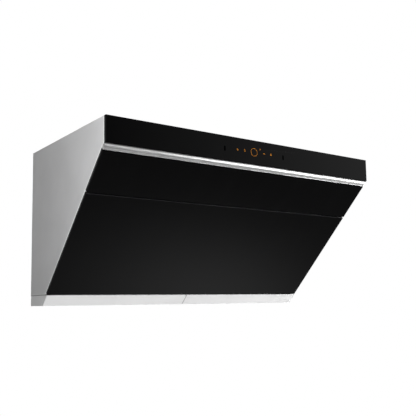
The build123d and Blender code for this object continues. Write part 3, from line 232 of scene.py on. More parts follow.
def piece(name, sheets, body, material):
    """One object from grids of points. sheets is a list of (points, wrap_rows, wrap_columns), with
    points of shape rows by columns by 3. Doubles at poles and seams are merged and faces turned
    outwards."""
    vertices, faces, count = [], [], 0
    for points, wrap_rows, wrap_columns in sheets:
        rows, columns = points.shape[:2]
        vertices.append(points.reshape(-1, 3))
        faces.append(grid_faces(rows, columns, wrap_rows, wrap_columns) + count)
        count += rows * columns
    mesh = bpy.data.meshes.new(name)
    mesh.from_pydata(np.concatenate(vertices).tolist(), [], np.concatenate(faces).tolist())
    shell = bmesh.new()
    shell.from_mesh(mesh)
    bmesh.ops.remove_doubles(shell, verts=shell.verts, dist=DOUBLES)
    bmesh.ops.dissolve_degenerate(shell, edges=shell.edges, dist=NO_LENGTH)
    bmesh.ops.recalc_face_normals(shell, faces=shell.faces)
    shell.to_mesh(mesh)
    shell.free()
    mesh.polygons.foreach_set("use_smooth", np.ones(len(mesh.polygons), dtype=bool))
    mesh.set_sharp_from_angle(angle=SHARP_EDGE)
    mesh.materials.append(material)
    made = new_object(name, mesh)
    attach(made, body)
    return made


def squircle(t):
    """Points between a circle and a square at the angles t: the square roots of the cosine's and
    the sine's sizes, with their signs kept."""
    c, s = np.cos(t), np.sin(t)
    return np.stack([np.sign(c) * np.abs(c) ** 0.5, np.sign(s) * np.abs(s) ** 0.5], axis=-1)


def ribbon(path, width, height, origin, right, up, face, closed=False):
    """A flat line on a plane. The section is a squircle, carried along the path: a point is the
    path's point, plus the section's first coordinate along the path's side, plus its second along
    the plane's normal. An open line ends in points, which closes it."""
    path = np.asarray(path, dtype=float)
    step = np.roll(path, -1, axis=0) - np.roll(path, 1, axis=0)
    if not closed:
        step[0], step[-1] = path[1] - path[0], path[-1] - path[-2]
    step /= np.linalg.norm(step, axis=1, keepdims=True)
    side = np.stack([-step[:, 1], step[:, 0]], axis=-1)
    section = squircle(np.arange(12) * TURN / 12) * (width / 2, height)
    reach = np.ones(len(path))
    if not closed:
        ends = np.array([path[0] - step[0] * width / 2, path[-1] + step[-1] * width / 2])
        path = np.concatenate([ends[:1], path, ends[1:]])
        side = np.concatenate([side[:1], side, side[-1:]])
        reach = np.concatenate([[0.0], reach, [0.0]])
    flat = path[:, None] + side[:, None] * section[None, :, :1] * reach[:, None, None]
    lift = section[None, :, 1:] * reach[:, None, None]
    return (origin + flat[..., :1] * right + flat[..., 1:] * up + lift * face,
            closed, True)


def arc(centre, radius, start, stop, count):
    """Points of a circle's arc: the centre plus the radius times cosine and sine of the angle."""
    t = np.radians(np.linspace(start, stop, count))
    return np.stack([centre[0] + radius * np.cos(t), centre[1] + radius * np.sin(t)], axis=-1)


def circle(centre, radius, count):
    """An arc that stops one step short of its start, for a closed line."""
    return arc(centre, radius, 0, 360 - 360 / count, count)


def turned(profile, origin, axis, right, count):
    """A turned shape. profile holds (radius, height) pairs: a point stands at its height along the
    axis and at its radius in the direction of the turn."""
    profile = np.asarray(profile, dtype=float)
    other = np.cross(axis, right)
    t = np.arange(count) * TURN / count
    around = np.cos(t)[:, None] * right + np.sin(t)[:, None] * other
    points = origin + profile[:, None, 1:] * axis + profile[:, None, :1] * around[None]
    return points, False, True


def tube(path, radius, sides, frame_normal):
    """A round wire along a path in a plane: each ring is the path's point plus the radius times
    the cosine along the plane's normal and the sine along the path's side. Its end rings have no
    radius, which closes them."""
    step = np.gradient(path, axis=0)
    step /= np.linalg.norm(step, axis=1, keepdims=True)
    side = np.cross(step, frame_normal)
    t = np.arange(sides) * TURN / sides
    spread = np.full(len(path), radius)
    spread[0] = spread[-1] = 0.0
    ring = np.cos(t)[None, :, None] * frame_normal + np.sin(t)[None, :, None] * side[:, None]
    return path[:, None] + ring * spread[:, None, None], False, True


def smooth_step(value, low, high):
    """0 below low, 1 above high, and three squares less two cubes of the share between."""
    part = np.clip((value - low) / (high - low), 0.0, 1.0)
    return part * part * (3 - 2 * part)


def groups_of(points, spacing):
    """Splits points into groups. A group is all that lies within the spacing of its first one."""
    groups, left = [], points
    while len(left):
        near = np.linalg.norm(left - left[0], axis=1) < spacing
        groups.append(left[near])
        left = left[~near]
    return groups


def cad_points(node):
    """The corner points of a packed node."""
    points = np.zeros(len(NODES[node].data.vertices) * 3)
    NODES[node].data.vertices.foreach_get("co", points)
    return points.reshape(-1, 3)


def furthest(node, direction):
    """How far a packed node reaches in a direction."""
    return float((cad_points(node) @ direction).max())


def middle_of(points):
    """The middle of the box round the points."""
    return (points.min(axis=0) + points.max(axis=0)) / 2


# ---------------------------------------------------------------- materials


class Signal:
    """A shader socket that takes part in sums. Each sign adds the Math node that it stands for."""

    def __init__(self, recipe, socket):
        self.recipe = recipe
        self.socket = socket

    def __add__(self, other):
        return self.recipe.math("ADD", self, other)

    def __sub__(self, other):
        return self.recipe.math("SUBTRACT", self, other)

    def __rsub__(self, other):
        return self.recipe.math("SUBTRACT", other, self)

    def __mul__(self, other):
        return self.recipe.math("MULTIPLY", self, other)

    def __truediv__(self, other):
        return self.recipe.math("DIVIDE", self, other)

    def __rtruediv__(self, other):
        return self.recipe.math("DIVIDE", other, self)

    __radd__ = __add__
    __rmul__ = __mul__

    def step(self, low, high):
        """0 below low and 1 above high, with a soft change between."""
        return self.recipe.out("ShaderNodeMapRange", "Result",
                               {"interpolation_type": "SMOOTHSTEP"},
                               {"Value": self, "From Min": low, "From Max": high})

    def size(self):
        return self.recipe.math("ABSOLUTE", self)

    def larger(self, other):
        return self.recipe.math("MAXIMUM", self, other)

    def smaller(self, other):
        return self.recipe.math("MINIMUM", self, other)

    def bell(self):
        """1 at 0, falling as the bell curve does: e to the power of minus the square."""
        return self.recipe.math("EXPONENT", -1.0 * (self * self))


class Recipe:
    """A tree of shader nodes and the maker of its nodes."""

    def __init__(self, owner):
        owner.use_nodes = True
        self.tree = owner.node_tree
        self.tree.nodes.clear()

    def node(self, kind, settings, sockets):
        """Adds a node, sets its settings, then its sockets from values or links."""
        made = self.tree.nodes.new(kind)
        for key, value in settings.items():
            setattr(made, key, value)
        for key, value in sockets.items():
            self.feed(made.inputs[key], value)
        return made

    def feed(self, socket, value):
        """Links a signal to a socket, or sets the socket to a value."""
        if isinstance(value, Signal):
            self.tree.links.new(value.socket, socket)
        elif socket.type == "RGBA" and len(value) == 3:
            socket.default_value = (*value, 1.0)
        else:
            socket.default_value = value

    def out(self, kind, output, settings, sockets):
        """Adds a node and returns one of its outputs."""
        return Signal(self, self.node(kind, settings, sockets).outputs[output])

    def math(self, operation, *values):
        return self.out("ShaderNodeMath", "Value", {"operation": operation},
                        dict(enumerate(values)))

    def axes(self, vector):
        """The three parts of a vector."""
        parts = self.node("ShaderNodeSeparateXYZ", {}, {"Vector": vector})
        return [Signal(self, parts.outputs[axis]) for axis in "XYZ"]

    def white_to_eye(self, white_kind, shader):
        """Plain white for the camera, and the shader for every other ray."""
        white = self.out(white_kind, 0, {}, {"Color": WHITE, "Strength": 1.0})
        eye = self.out("ShaderNodeLightPath", "Is Camera Ray", {}, {})
        return self.out("ShaderNodeMixShader", 0, {}, {0: eye, 1: shader, 2: white})


class Finish(Recipe):
    """One material: its shader with the values that are the same all over."""

    def __init__(self, name, **same):
        self.material = bpy.data.materials.new(name)
        super().__init__(self.material)
        sockets = {key.replace("_", " "): value for key, value in same.items()}
        self.shader = self.node("ShaderNodeBsdfPrincipled", {}, sockets)
        self.seen = Signal(self, self.shader.outputs["BSDF"])
        self.surface = self.node("ShaderNodeOutputMaterial", {}, {"Surface": self.seen})

    def place(self, stretch=None):
        """A point's place on the hood, times the stretch along each axis."""
        where = self.out("ShaderNodeTexCoord", "Object", {}, {})
        if stretch is None:
            return where
        return self.out("ShaderNodeMapping", "Vector", {}, {"Vector": where, "Scale": stretch})

    def where(self):
        """A point's three coordinates on the hood."""
        return self.axes(self.place())

    def noise(self, pitch, detail=2.0, stretch=None, roughness=0.5):
        """Cloudy noise, 0 to 1, with blobs about one pitch across."""
        return self.out("ShaderNodeTexNoise", "Fac", {},
                        {"Vector": self.place(stretch), "Scale": 1.0 / pitch, "Detail": detail,
                         "Roughness": roughness})

    def cells(self, pitch, feature="F1", output="Distance", stretch=None):
        """Cells about one pitch across."""
        return self.out("ShaderNodeTexVoronoi", output, {"feature": feature},
                        {"Vector": self.place(stretch), "Scale": 1.0 / pitch})

    def mix(self, mask, first, second):
        """first where the mask is 0 and second where it is 1."""
        return Signal(self, self.node("ShaderNodeMix", {"data_type": "RGBA"},
                                      {0: mask, 6: first, 7: second}).outputs[2])

    def paint(self, colour=None, roughness=None, coat=None, glow=None):
        """Links what changes over the surface."""
        links = {"Base Color": colour, "Roughness": roughness, "Coat Weight": coat,
                 "Emission Color": glow}
        for name, value in links.items():
            if value is not None:
                self.feed(self.shader.inputs[name], value)
        return self

    def bump(self, height, depth, strength=1.0):
        """Raises the surface by the height signal times the depth."""
        raised = self.out("ShaderNodeBump", "Normal", {},
                          {"Height": height, "Strength": strength, "Distance": depth})
        self.feed(self.shader.inputs["Normal"], raised)
        return self


def lighter(shade, factor):
    """A shade times a factor, up to white. A factor under 1 makes it darker."""
    return tuple(min(1.0, channel * factor) for channel in shade)


def edge_mask(finish, slot, reach):
    """1 at the outer edges of the common box of a slot's nodes, 0 further in than the reach."""
    lows, highs = zip(*(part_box(node) for node in slot_nodes(slot)))
    lows, highs = np.min(lows, axis=0), np.max(highs, axis=0)
    near = None
    for place, low, high in zip(finish.where()[1:], lows[1:], highs[1:]):
        gap = (place - float(low)).size().smaller((place - float(high)).size())
        near = gap if near is None else near.smaller(gap)
    return 1.0 - near.step(0.0, reach)


def front_edge_highlight(finish, node, reach):
    """The mask of the painted highlight: 1 at a side panel's front edge, both its upright and its
    slanted run, and 0 further in.
    """
    _, y, z = finish.where()
    upright = (y + furthest(node, FORWARD)).step(0.0, reach)
    slanted = ((y + z) * HALF_ROOT + furthest(node, OUT_OF_SLOPE)).step(0.0, reach)
    return 1.0 - upright.smaller(slanted)


def painted_sheet(name, shade, slot, roughness=0.42, rim=None, seams=()):
    """Satin powder coat: fine peel, faint clouds in tone and gloss, and rubbed, paler edges. rim
    is a side panel whose front edge is made paler as a painted highlight, for the light that its
    rounded edge catches. seams holds the axis and the place of each joint; the paint beside it is
    darkened as painted shade, for the shadow in the gap between the parts."""
    finish = Finish(name, Metallic=0.0, Coat_Roughness=0.25, IOR=1.5)
    clouds = finish.noise(pitch=110 * MM, detail=3.0)
    peel = finish.noise(pitch=1.1 * MM)
    speck = finish.cells(pitch=0.7 * MM)
    worn = edge_mask(finish, slot, reach=4 * MM) * (0.35 + 0.65 * finish.noise(pitch=10 * MM))
    tone = finish.mix(clouds.step(0.3, 0.7), lighter(shade, 0.965), lighter(shade, 1.03))
    tone = finish.mix(worn * 0.45, tone, lighter(shade, 1.25))
    if rim:
        # Painted highlight: the front edge is made paler, for the light that its rounded edge
        # catches.
        bright = front_edge_highlight(finish, rim, reach=6 * MM) * 0.85
        tone = finish.mix(bright, tone, lighter(shade, 1.5))
    # Painted shade: the paint beside each seam is darkened, for the shadow in the gap between the
    # parts.
    for axis, place in seams:
        along = finish.where()["XYZ".index(axis)]
        near = 1.0 - (along - place).size().step(0.8 * MM, 1.4 * MM)
        tone = finish.mix(near * 0.8, tone, lighter(shade, 0.2))
    gloss = roughness + 0.06 * clouds - 0.05 * worn + 0.03 * speck
    return finish.paint(colour=tone, roughness=gloss, coat=0.25 + 0.1 * clouds).bump(
        peel + 0.35 * speck, depth=0.06 * MM, strength=0.5).material


def black_glass(name, shade, edge, level=0.2):
    """Black-backed tempered glass: a long roller wave, faint wiped haze and a few dust specks. The
    ground edge, at its place up the slope, is satin and greyer. level is the shine."""
    finish = Finish(name, Metallic=0.0, Specular_IOR_Level=level, Coat_Weight=0.0)
    _, y, z = finish.where()
    ground = 1.0 - ((z - y) * HALF_ROOT - edge).size().step(0.55 * MM, 0.65 * MM)
    wave = finish.noise(pitch=160 * MM, detail=1.0, stretch=(0.35, 1.0, 1.0))
    haze = finish.noise(pitch=50 * MM, detail=4.0, stretch=(1.0, 0.35, 0.35)).step(0.45, 0.8)
    dust = 1.0 - finish.cells(pitch=20 * MM).step(0.01, 0.03)
    tone = finish.mix(haze * 0.5 + 0.2 * dust, shade, lighter(shade, 1.6))
    tone = finish.mix(ground, tone, lighter(shade, 15.0))
    return finish.paint(colour=tone, roughness=0.045 + 0.05 * haze + 0.12 * dust + 0.4 * ground
                        ).bump(wave, depth=0.2 * MM, strength=0.35).material


def moulded(name, shade, grain=0.9 * MM, roughness=0.5, level=0.5):
    """Moulded plastic: a spark-eroded grain with faint flow lines. level is the shine."""
    finish = Finish(name, Metallic=0.0, IOR=1.49, Specular_IOR_Level=level)
    grain_cells = finish.cells(grain, feature="SMOOTH_F1")
    flow = finish.noise(pitch=30 * MM, stretch=(0.3, 1.0, 1.0))
    tone = finish.mix(flow.step(0.35, 0.7), lighter(shade, 0.9), lighter(shade, 1.15))
    return finish.paint(colour=tone, roughness=roughness + 0.12 * grain_cells - 0.05 * flow
                        ).bump(grain_cells, depth=0.08 * MM, strength=0.6).material


def brushed(name, shade, roughness=0.3, stretch=(0.02, 1.0, 1.0)):
    """Brushed metal: long fine scratches along the stretched axis, with wiped patches."""
    finish = Finish(name, Metallic=1.0)
    lines = finish.noise(pitch=0.6 * MM, detail=3.0, stretch=stretch, roughness=0.7)
    patches = finish.noise(pitch=70 * MM)
    tone = finish.mix(lines.step(0.3, 0.75), lighter(shade, 0.9), lighter(shade, 1.08))
    return finish.paint(colour=tone, roughness=roughness + 0.12 * lines + 0.06 * patches
                        ).bump(lines, depth=0.02 * MM, strength=0.5).material


def zinc_sheet(name, shade):
    """Hot-dipped sheet: flat crystals a few millimetres across, each with its own tone."""
    finish = Finish(name, Metallic=1.0)
    crystal = finish.out("ShaderNodeSeparateColor", "Red", {},
                         {"Color": finish.cells(pitch=9 * MM, output="Color")})
    stain = finish.noise(pitch=40 * MM, detail=3.0)
    tone = finish.mix(crystal * 0.7 + 0.3 * stain, lighter(shade, 0.82), lighter(shade, 1.12))
    return finish.paint(colour=tone, roughness=0.36 + 0.14 * crystal + 0.06 * stain
                        ).bump(crystal, depth=0.02 * MM, strength=0.4).material


def turned_steel(name, shade, roughness=0.2):
    """Ground or plated steel: very fine rings and a few darker touches."""
    finish = Finish(name, Metallic=1.0)
    rings = finish.noise(pitch=0.4 * MM, stretch=(1.0, 1.0, 0.1))
    touch = finish.noise(pitch=6 * MM, detail=3.0)
    tone = finish.mix(touch.step(0.5, 0.8), shade, lighter(shade, 0.75))
    return finish.paint(colour=tone, roughness=roughness + 0.1 * rings + 0.1 * touch
                        ).bump(rings, depth=0.01 * MM, strength=0.4).material


def anodised_strip(name, shade, roughness, top, groove):
    """Satin anodised extrusion: die lines along its length and soft matt patches. Its colour is
    darkened under the control glass as painted shade. Its crown, above the groove, is darker too,
    as painted shade that dims its highlight, and leans upwards: the relief is the way down from
    the top times the first lean, plus the square of the way times half of how fast the lean grows."""
    finish = Finish(name, Metallic=1.0)
    _, y, z = finish.where()
    up_slope = (z - y) * HALF_ROOT
    # Painted shade: the strip's colour darkens towards the control glass above it.
    shade_under_glass = up_slope.step(top - 3.6 * MM, top - 0.4 * MM)
    down = (top - up_slope).larger(0.0).smaller(top - groove)
    first_lean, half_growth = 0.03, 15.0
    relief = down * first_lean + down * down * half_growth
    lines = finish.noise(pitch=0.7 * MM, stretch=(0.004, 1.0, 1.0), roughness=0.6)
    matt = finish.noise(pitch=90 * MM, stretch=(0.4, 1.0, 1.0))
    grain = finish.noise(pitch=0.3 * MM, detail=1.0)
    relief = relief + lines * (0.0056 * MM) + grain * (0.0024 * MM)
    # Painted shade: the crown's colour is darkened to dim the highlight on it.
    crown = (up_slope - groove).step(-0.4 * MM, 0.4 * MM)
    tone = finish.mix(lines.step(0.35, 0.7), lighter(shade, 0.93), lighter(shade, 1.05))
    tone = finish.mix(crown, tone, lighter(shade, 0.68))
    tone = finish.mix(shade_under_glass * 0.85, tone, lighter(shade, 0.05))
    return finish.paint(colour=tone, roughness=roughness + 0.08 * matt + 0.05 * grain
                        ).bump(relief, depth=1.0).material


def frosted(name, shade):
    """Frosted lamp cover: fine bead grain, with a faint rhythm from the lamps behind it."""
    finish = Finish(name, Metallic=0.0, IOR=1.49)
    grain = finish.noise(pitch=0.5 * MM, detail=1.0)
    lamp_pitch = 40 * MM
    rhythm = finish.math("SINE", finish.where()[0] * (TURN / lamp_pitch)) * 0.5 + 0.5
    tone = finish.mix(rhythm * 0.5 + 0.3 * grain, lighter(shade, 0.97), lighter(shade, 1.03))
    return finish.paint(colour=tone, roughness=0.45 + 0.15 * grain).bump(
        grain, depth=0.04 * MM, strength=0.5).material


def circuit_board(name, shade):
    """Solder mask over copper: a lattice of tracks and pads, alike through the board's depth."""
    finish = Finish(name, Metallic=0.0, Coat_Roughness=0.1)
    through, solder = (1.0, 0.0, 1.0), (0.55, 0.53, 0.48)
    track = finish.cells(pitch=6 * MM, feature="DISTANCE_TO_EDGE", stretch=through)
    lines = 1.0 - track.step(0.03, 0.06)
    pads = 1.0 - finish.cells(pitch=8 * MM, stretch=through).step(0.08, 0.12)
    tone = finish.mix(lines, shade, lighter(shade, 2.0))
    tone = finish.mix(pads, tone, solder)
    roughness = 0.35 + 0.1 * finish.noise(pitch=10 * MM)
    return finish.paint(colour=tone, roughness=roughness, coat=0.4).bump(
        lines + pads, depth=0.03 * MM, strength=0.6).material


def rubber(name, shade):
    """Matt rubber with a bloom of dust."""
    finish = Finish(name, Metallic=0.0, IOR=1.5)
    bloom = finish.noise(pitch=2 * MM, detail=3.0)
    grain = finish.cells(pitch=0.6 * MM)
    tone = finish.mix(bloom.step(0.4, 0.8), shade, lighter(shade, 2.2))
    return finish.paint(colour=tone, roughness=0.72 + 0.15 * bloom).bump(
        grain, depth=0.08 * MM, strength=0.6).material


def lit_mark(name, shade):
    """A mark lit from behind the glass: slightly uneven across each stroke."""
    finish = Finish(name, Metallic=0.0, Specular_IOR_Level=0.2, Emission_Strength=0.185)
    uneven = finish.noise(pitch=2.2 * MM)
    tone = finish.mix(uneven, lighter(shade, 0.85), lighter(shade, 1.15))
    return finish.paint(colour=finish.mix(uneven, lighter(shade, 0.5), lighter(shade, 0.7)),
                        glow=tone, roughness=0.35 + 0.1 * uneven).material


def smoked_window(name):
    """A smoked sensor window: near black with a faint violet cast and a fine grain."""
    finish = Finish(name, Metallic=0.0, Specular_IOR_Level=0.0)
    grain = finish.noise(pitch=0.8 * MM)
    tone = finish.mix(grain, (0.0003, 0.0003, 0.0004), (0.0008, 0.0007, 0.001))
    return finish.paint(colour=tone, roughness=0.12 + 0.08 * grain).bump(
        grain, depth=0.01 * MM, strength=0.3).material


def slot_nodes(slot):
    """The nodes that take their finish from a slot of the record."""
    return [part["node"] for part in frame["record"]["subparts"]
            if part["material_slot"] == slot]


def dress(slot, material):
    """Gives a slot's nodes a material in place of the packed one."""
    for node in slot_nodes(slot):
        NODES[node].data.materials.clear()
        NODES[node].data.materials.append(material)


# ---------------------------------------------------------------- operators: finishes


class HOOD_OT_casing(bpy.types.Operator):
    """Finish the side and top panels and the grease cups"""

    bl_idname = "hood.finish_casing"
    bl_label = "Casing and Cups"

    def execute(self, context):
        paint = context.scene.hood_paint
        # The side panels' foot and the middle between the two cups are seams that get painted
        # shade beside them.
        foot = ("Z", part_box("side_panel_left")[0].z)
        middle = ("X", 0.0)
        # The left side panel's front edge gets a painted highlight.
        dress("casing_steel", painted_sheet("Casing_Paint", paint.casing, "casing_steel",
                                            rim="side_panel_left", seams=[foot]))
        dress("cup_steel", painted_sheet("Cup_Paint", paint.cup, "cup_steel", roughness=0.36,
                                         seams=[foot, middle]))
        return {"FINISHED"}


class HOOD_OT_glass(bpy.types.Operator):
    """Finish the three front glasses, their carriers and the sensor windows"""

    bl_idname = "hood.finish_glass"
    bl_label = "Black Glass"

    def execute(self, context):
        paint = context.scene.hood_paint
        edge = furthest("flap_glass", UP_SLOPE)
        dress("front_glass", black_glass("Front_Glass", paint.glass, edge))
        dress("window_glass", smoked_window("Sensor_Window"))
        dress("black_frame", moulded("Carrier_Plastic", paint.carrier, roughness=0.6, level=0.1))
        dress("frame_aluminium", brushed("Black_Anodised_Pan", paint.carrier, roughness=0.45))
        return {"FINISHED"}


class HOOD_OT_lamp(bpy.types.Operator):
    """Finish the lamp strip, its diffuser and the circuit boards"""

    bl_idname = "hood.finish_lamp"
    bl_label = "Lamp Strip"

    def execute(self, context):
        metal = context.scene.hood_metal
        top = furthest("trim_strip", UP_SLOPE)
        groove = furthest("lamp_diffuser", UP_SLOPE) + 0.5 * MM
        dress("strip_aluminium",
              anodised_strip("Strip_Aluminium", metal.strip, metal.strip_roughness, top, groove))
        dress("diffuser", frosted("Frosted_Diffuser", metal.diffuser))
        dress("circuit_board", circuit_board("Board_Green", context.scene.hood_paint.board))
        return {"FINISHED"}


class HOOD_OT_metals(bpy.types.Operator):
    """Finish the bare metal: liner, filter, hidden sheet, arms and shafts"""

    bl_idname = "hood.finish_metals"
    bl_label = "Bare Metals"

    def execute(self, context):
        metal = context.scene.hood_metal
        dress("inner_steel", brushed("Liner_Steel", metal.liner))
        dress("filter_aluminium",
              brushed("Filter_Aluminium", metal.filter, roughness=0.32, stretch=(1.0, 0.03, 0.03)))
        dress("zinc_steel", zinc_sheet("Zinc_Sheet", metal.zinc))
        dress("arm_steel", brushed("Arm_Steel", metal.arm, roughness=0.28))
        dress("shaft_steel", turned_steel("Shaft_Steel", metal.shaft))
        dress("screw_steel", turned_steel("Screw_Plating", metal.screw))
        dress("capacitor_can", brushed("Drawn_Can", metal.filter, roughness=0.25))
        return {"FINISHED"}


class HOOD_OT_plastics(bpy.types.Operator):
    """Finish the duct collar, fan wheel, motors, control box and bumpers"""

    bl_idname = "hood.finish_plastics"
    bl_label = "Plastics and Motors"

    def execute(self, context):
        paint = context.scene.hood_paint
        dress("collar_plastic", moulded("Duct_Plastic", paint.plastic))
        dress("fan_plastic", moulded("Fan_Plastic", paint.fan, grain=0.7 * MM, roughness=0.42))
        dress("box_plastic", moulded("Box_Plastic", paint.case, grain=0.8 * MM))
        dress("motor_metal",
              painted_sheet("Motor_Paint", paint.motor, "motor_metal", roughness=0.35))
        dress("rubber", rubber("Bumper_Rubber", paint.rubber))
        return {"FINISHED"}


# ---------------------------------------------------------------- operators: new pieces


def timer_symbol(line, x, z):
    """A clock: a full circle and two hands."""
    return [line(circle((x, z), 1.9 * MM, 48), closed=True),
            line([(x, z), (x, z + 1.6 * MM)]),
            line([(x, z), (x + 1.2 * MM, z)])]


def lamp_symbol(line, x, z):
    """A bulb: most of a circle, open at the foot, over two short bars."""
    return [line(arc((x, z + 0.6 * MM), 2.0 * MM, -50, 230, 40)),
            line([(x - 1.3 * MM, z - 2.1 * MM), (x + 1.3 * MM, z - 2.1 * MM)]),
            line([(x - 0.8 * MM, z - 3.3 * MM), (x + 0.8 * MM, z - 3.3 * MM)])]


def power_symbol(line, x, z):
    """A circle open at the top, with a bar through the gap."""
    return [line(arc((x, z), 1.5 * MM, 125, 415, 40)),
            line([(x, z + 0.5 * MM), (x, z + 2.2 * MM)])]


BAR_REACH = 2.7 * MM
BAR_WIDTH = 2.0 * MM


def less_symbol(line, x, z):
    """A minus sign."""
    return [line([(x - BAR_REACH, z), (x + BAR_REACH, z)], BAR_WIDTH)]


def more_symbol(line, x, z):
    """A minus sign with an upright bar across it."""
    return less_symbol(line, x, z) + [line([(x, z - BAR_REACH), (x, z + BAR_REACH)], BAR_WIDTH)]


# Each symbol, its place across the glass and its drop below the glass's top.
SYMBOLS = (
    (timer_symbol, -62.3 * MM, 32.5 * MM),
    (lamp_symbol, -37.8 * MM, 31.7 * MM),
    (power_symbol, 15.9 * MM, 22.7 * MM),
    (less_symbol, 29.9 * MM, 32.9 * MM),
    (more_symbol, 54.1 * MM, 32.9 * MM),
)


class HOOD_OT_marks(bpy.types.Operator):
    """Make the ring and the five touch symbols on the control glass"""

    bl_idname = "hood.make_marks"
    bl_label = "Control Marks"

    def execute(self, context):
        controls = context.scene.hood_controls
        low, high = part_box("fascia_glass")
        origin = np.array([0.0, low.y, high.z])
        glow = lit_mark("Lit_Orange", controls.mark_colour)

        def line(path, width=controls.stroke, closed=False):
            return ribbon(path, width, controls.relief, origin, ACROSS, UP, FORWARD, closed)

        ring = circle((controls.ring_x, -controls.ring_drop), controls.ring_radius, 144)
        marks = {"control_ring": [line(ring, controls.ring_stroke, closed=True)]}
        for symbol, across, drop in SYMBOLS:
            marks[symbol.__name__] = symbol(line, across, -drop)
        for name, strokes in marks.items():
            piece(name, strokes, "casing", glow)
        return {"FINISHED"}


def screw_surface(fittings, head_r, head_rise, shank_r, shank_length, seat, axis, right):
    """A pan-head screw. The head's height falls with the fourth power of the share of its radius,
    to the rim's share at its edge. The cross recess takes away its depth, less towards the arms'
    ends, wherever the point lies within an arm's half width of either cross line. The shank loses
    the thread's depth where the height in pitches, less the turn, is halfway between whole
    numbers, and it tapers to a point over its last stretch. seat is where the head rests."""
    count = fittings.segments
    t = np.arange(count) * TURN / count
    r = np.linspace(0.0, 1.0, 20) ** 0.9 * head_r
    x, y = r[:, None] * np.cos(t), r[:, None] * np.sin(t)
    rim = 0.52
    dome = head_rise * (rim + (1 - rim) * (1 - (r / head_r) ** 4))[:, None] * np.ones(count)
    arm = fittings.recess_arm
    across = 1 - smooth_step(np.minimum(np.abs(x), np.abs(y)), arm * 0.6, arm * 1.3)
    inner = 1 - smooth_step(r / head_r, 0.3, 0.62)[:, None]
    top = np.stack([x, y, dome - fittings.recess_depth * across * inner], axis=-1)
    edge_z = np.array([0.30, 0.08, 0.0, 0.0]) * head_rise
    edge_r = np.array([1.0, 0.99, 0.95, shank_r / head_r]) * head_r
    edge = np.stack([edge_r[:, None] * np.cos(t), edge_r[:, None] * np.sin(t),
                     edge_z[:, None] * np.ones(count)], axis=-1)
    z = np.linspace(0.0, -shank_length, 34)
    phase = (z[:, None] / fittings.thread_pitch - t / TURN) % 1.0
    crest = np.abs(phase - 0.5) * 2
    taper = np.clip((z + shank_length) / (2 * shank_r), 0.0, 1.0)[:, None]
    rod = (shank_r - fittings.thread_depth * (1 - crest)) * taper
    shank = np.stack([rod * np.cos(t), rod * np.sin(t), z[:, None] * np.ones(count)], axis=-1)
    local = np.concatenate([top, edge, shank])
    other = np.cross(axis, right)
    return (seat + local[..., :1] * right + local[..., 1:2] * other + local[..., 2:] * axis,
            False, True)


class HOOD_OT_screws(bpy.types.Operator):
    """Make the pan-head screws in place of the plain ones"""

    bl_idname = "hood.make_screws"
    bl_label = "Screws"

    def execute(self, context):
        fittings = context.scene.hood_fittings
        plating = turned_steel("Screw_Zinc", context.scene.hood_metal.screw, 0.18)
        turn_between = 0.7
        for node, axis in (("casing_screws", UP), ("collar_screws", UP),
                           ("fan_screws", FORWARD)):
            points = cad_points(node)
            levels = points @ axis
            # A plain screw's points lie at its tip, under its head and on its top.
            tip, seat, top = np.unique(np.round(levels / MM, 2)) * MM
            tips = groups_of(points[levels < tip + MM], spacing=5 * MM)
            sheets = []
            for number, end in enumerate(tips):
                centre = middle_of(end)
                shank_r = np.linalg.norm(end - centre, axis=1).max()
                side = np.cross(axis, ACROSS)
                turn = number * turn_between
                right = math.cos(turn) * ACROSS + math.sin(turn) * side
                sheets.append(screw_surface(
                    fittings, head_r=2 * shank_r, head_rise=top - seat, shank_r=shank_r,
                    shank_length=seat - tip, seat=centre + axis * (seat - tip), axis=axis,
                    right=right))
            made = piece(node.replace("screws", "pan_screws"), sheets, "casing",
                         plating)
            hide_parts(node)
        return {"FINISHED"}


class HOOD_OT_arm_screws(bpy.types.Operator):
    """Make the screws that hold each gooseneck's foot to the flap"""

    bl_idname = "hood.make_arm_screws"
    bl_label = "Arm Screws"

    def execute(self, context):
        fittings = context.scene.hood_fittings
        plating = turned_steel("Arm_Screw_Zinc", context.scene.hood_metal.screw, 0.18)
        inward = -OUT_OF_SLOPE
        for side in ("left", "right"):
            points = cad_points("gooseneck_" + side)
            up_slope = points @ UP_SLOPE
            # The lower end of the foot alone, because the arm's bend hangs over the rest.
            end = points[up_slope < up_slope.min() + MM]
            middle = middle_of(end)
            middle = middle + inward * ((end @ inward).max() - middle @ inward)
            sheets = []
            for along in (6 * MM, 16 * MM):
                seat = middle + UP_SLOPE * (up_slope.min() + along - middle @ UP_SLOPE)
                sheets.append(screw_surface(
                    fittings, head_r=3.4 * MM, head_rise=1.6 * MM, shank_r=1.5 * MM,
                    shank_length=2.4 * MM, seat=seat, axis=inward, right=ACROSS))
            piece("arm_screws_" + side, sheets, "flap", plating)
        return {"FINISHED"}


def handle_surfaces(fittings, centre):
    """A wire handle on its two feet. The wire follows the upper half of a squircle, times half the
    span along the filter and times the rise out of it. Each foot is a turned washer and collar."""
    bow = squircle(np.linspace(0.0, TURN / 2, 61)) * (fittings.handle_span / 2,
                                                      fittings.handle_rise)
    path = centre + bow[:, :1] * ACROSS + bow[:, 1:] * OUT_OF_SLOPE
    sheets = [tube(path, fittings.handle_wire / 2, sides=16, frame_normal=UP_SLOPE)]
    profile = np.array([(0.0, 0.0), (6.0, 0.0), (6.0, 0.8), (5.4, 1.3), (3.4, 1.9), (3.0, 3.4),
                        (2.4, 4.0), (0.0, 4.0)]) * MM
    for end in (-1, 1):
        foot = centre + ACROSS * end * fittings.handle_span / 2
        sheets.append(turned(profile, foot, OUT_OF_SLOPE, ACROSS, count=32))
    return sheets


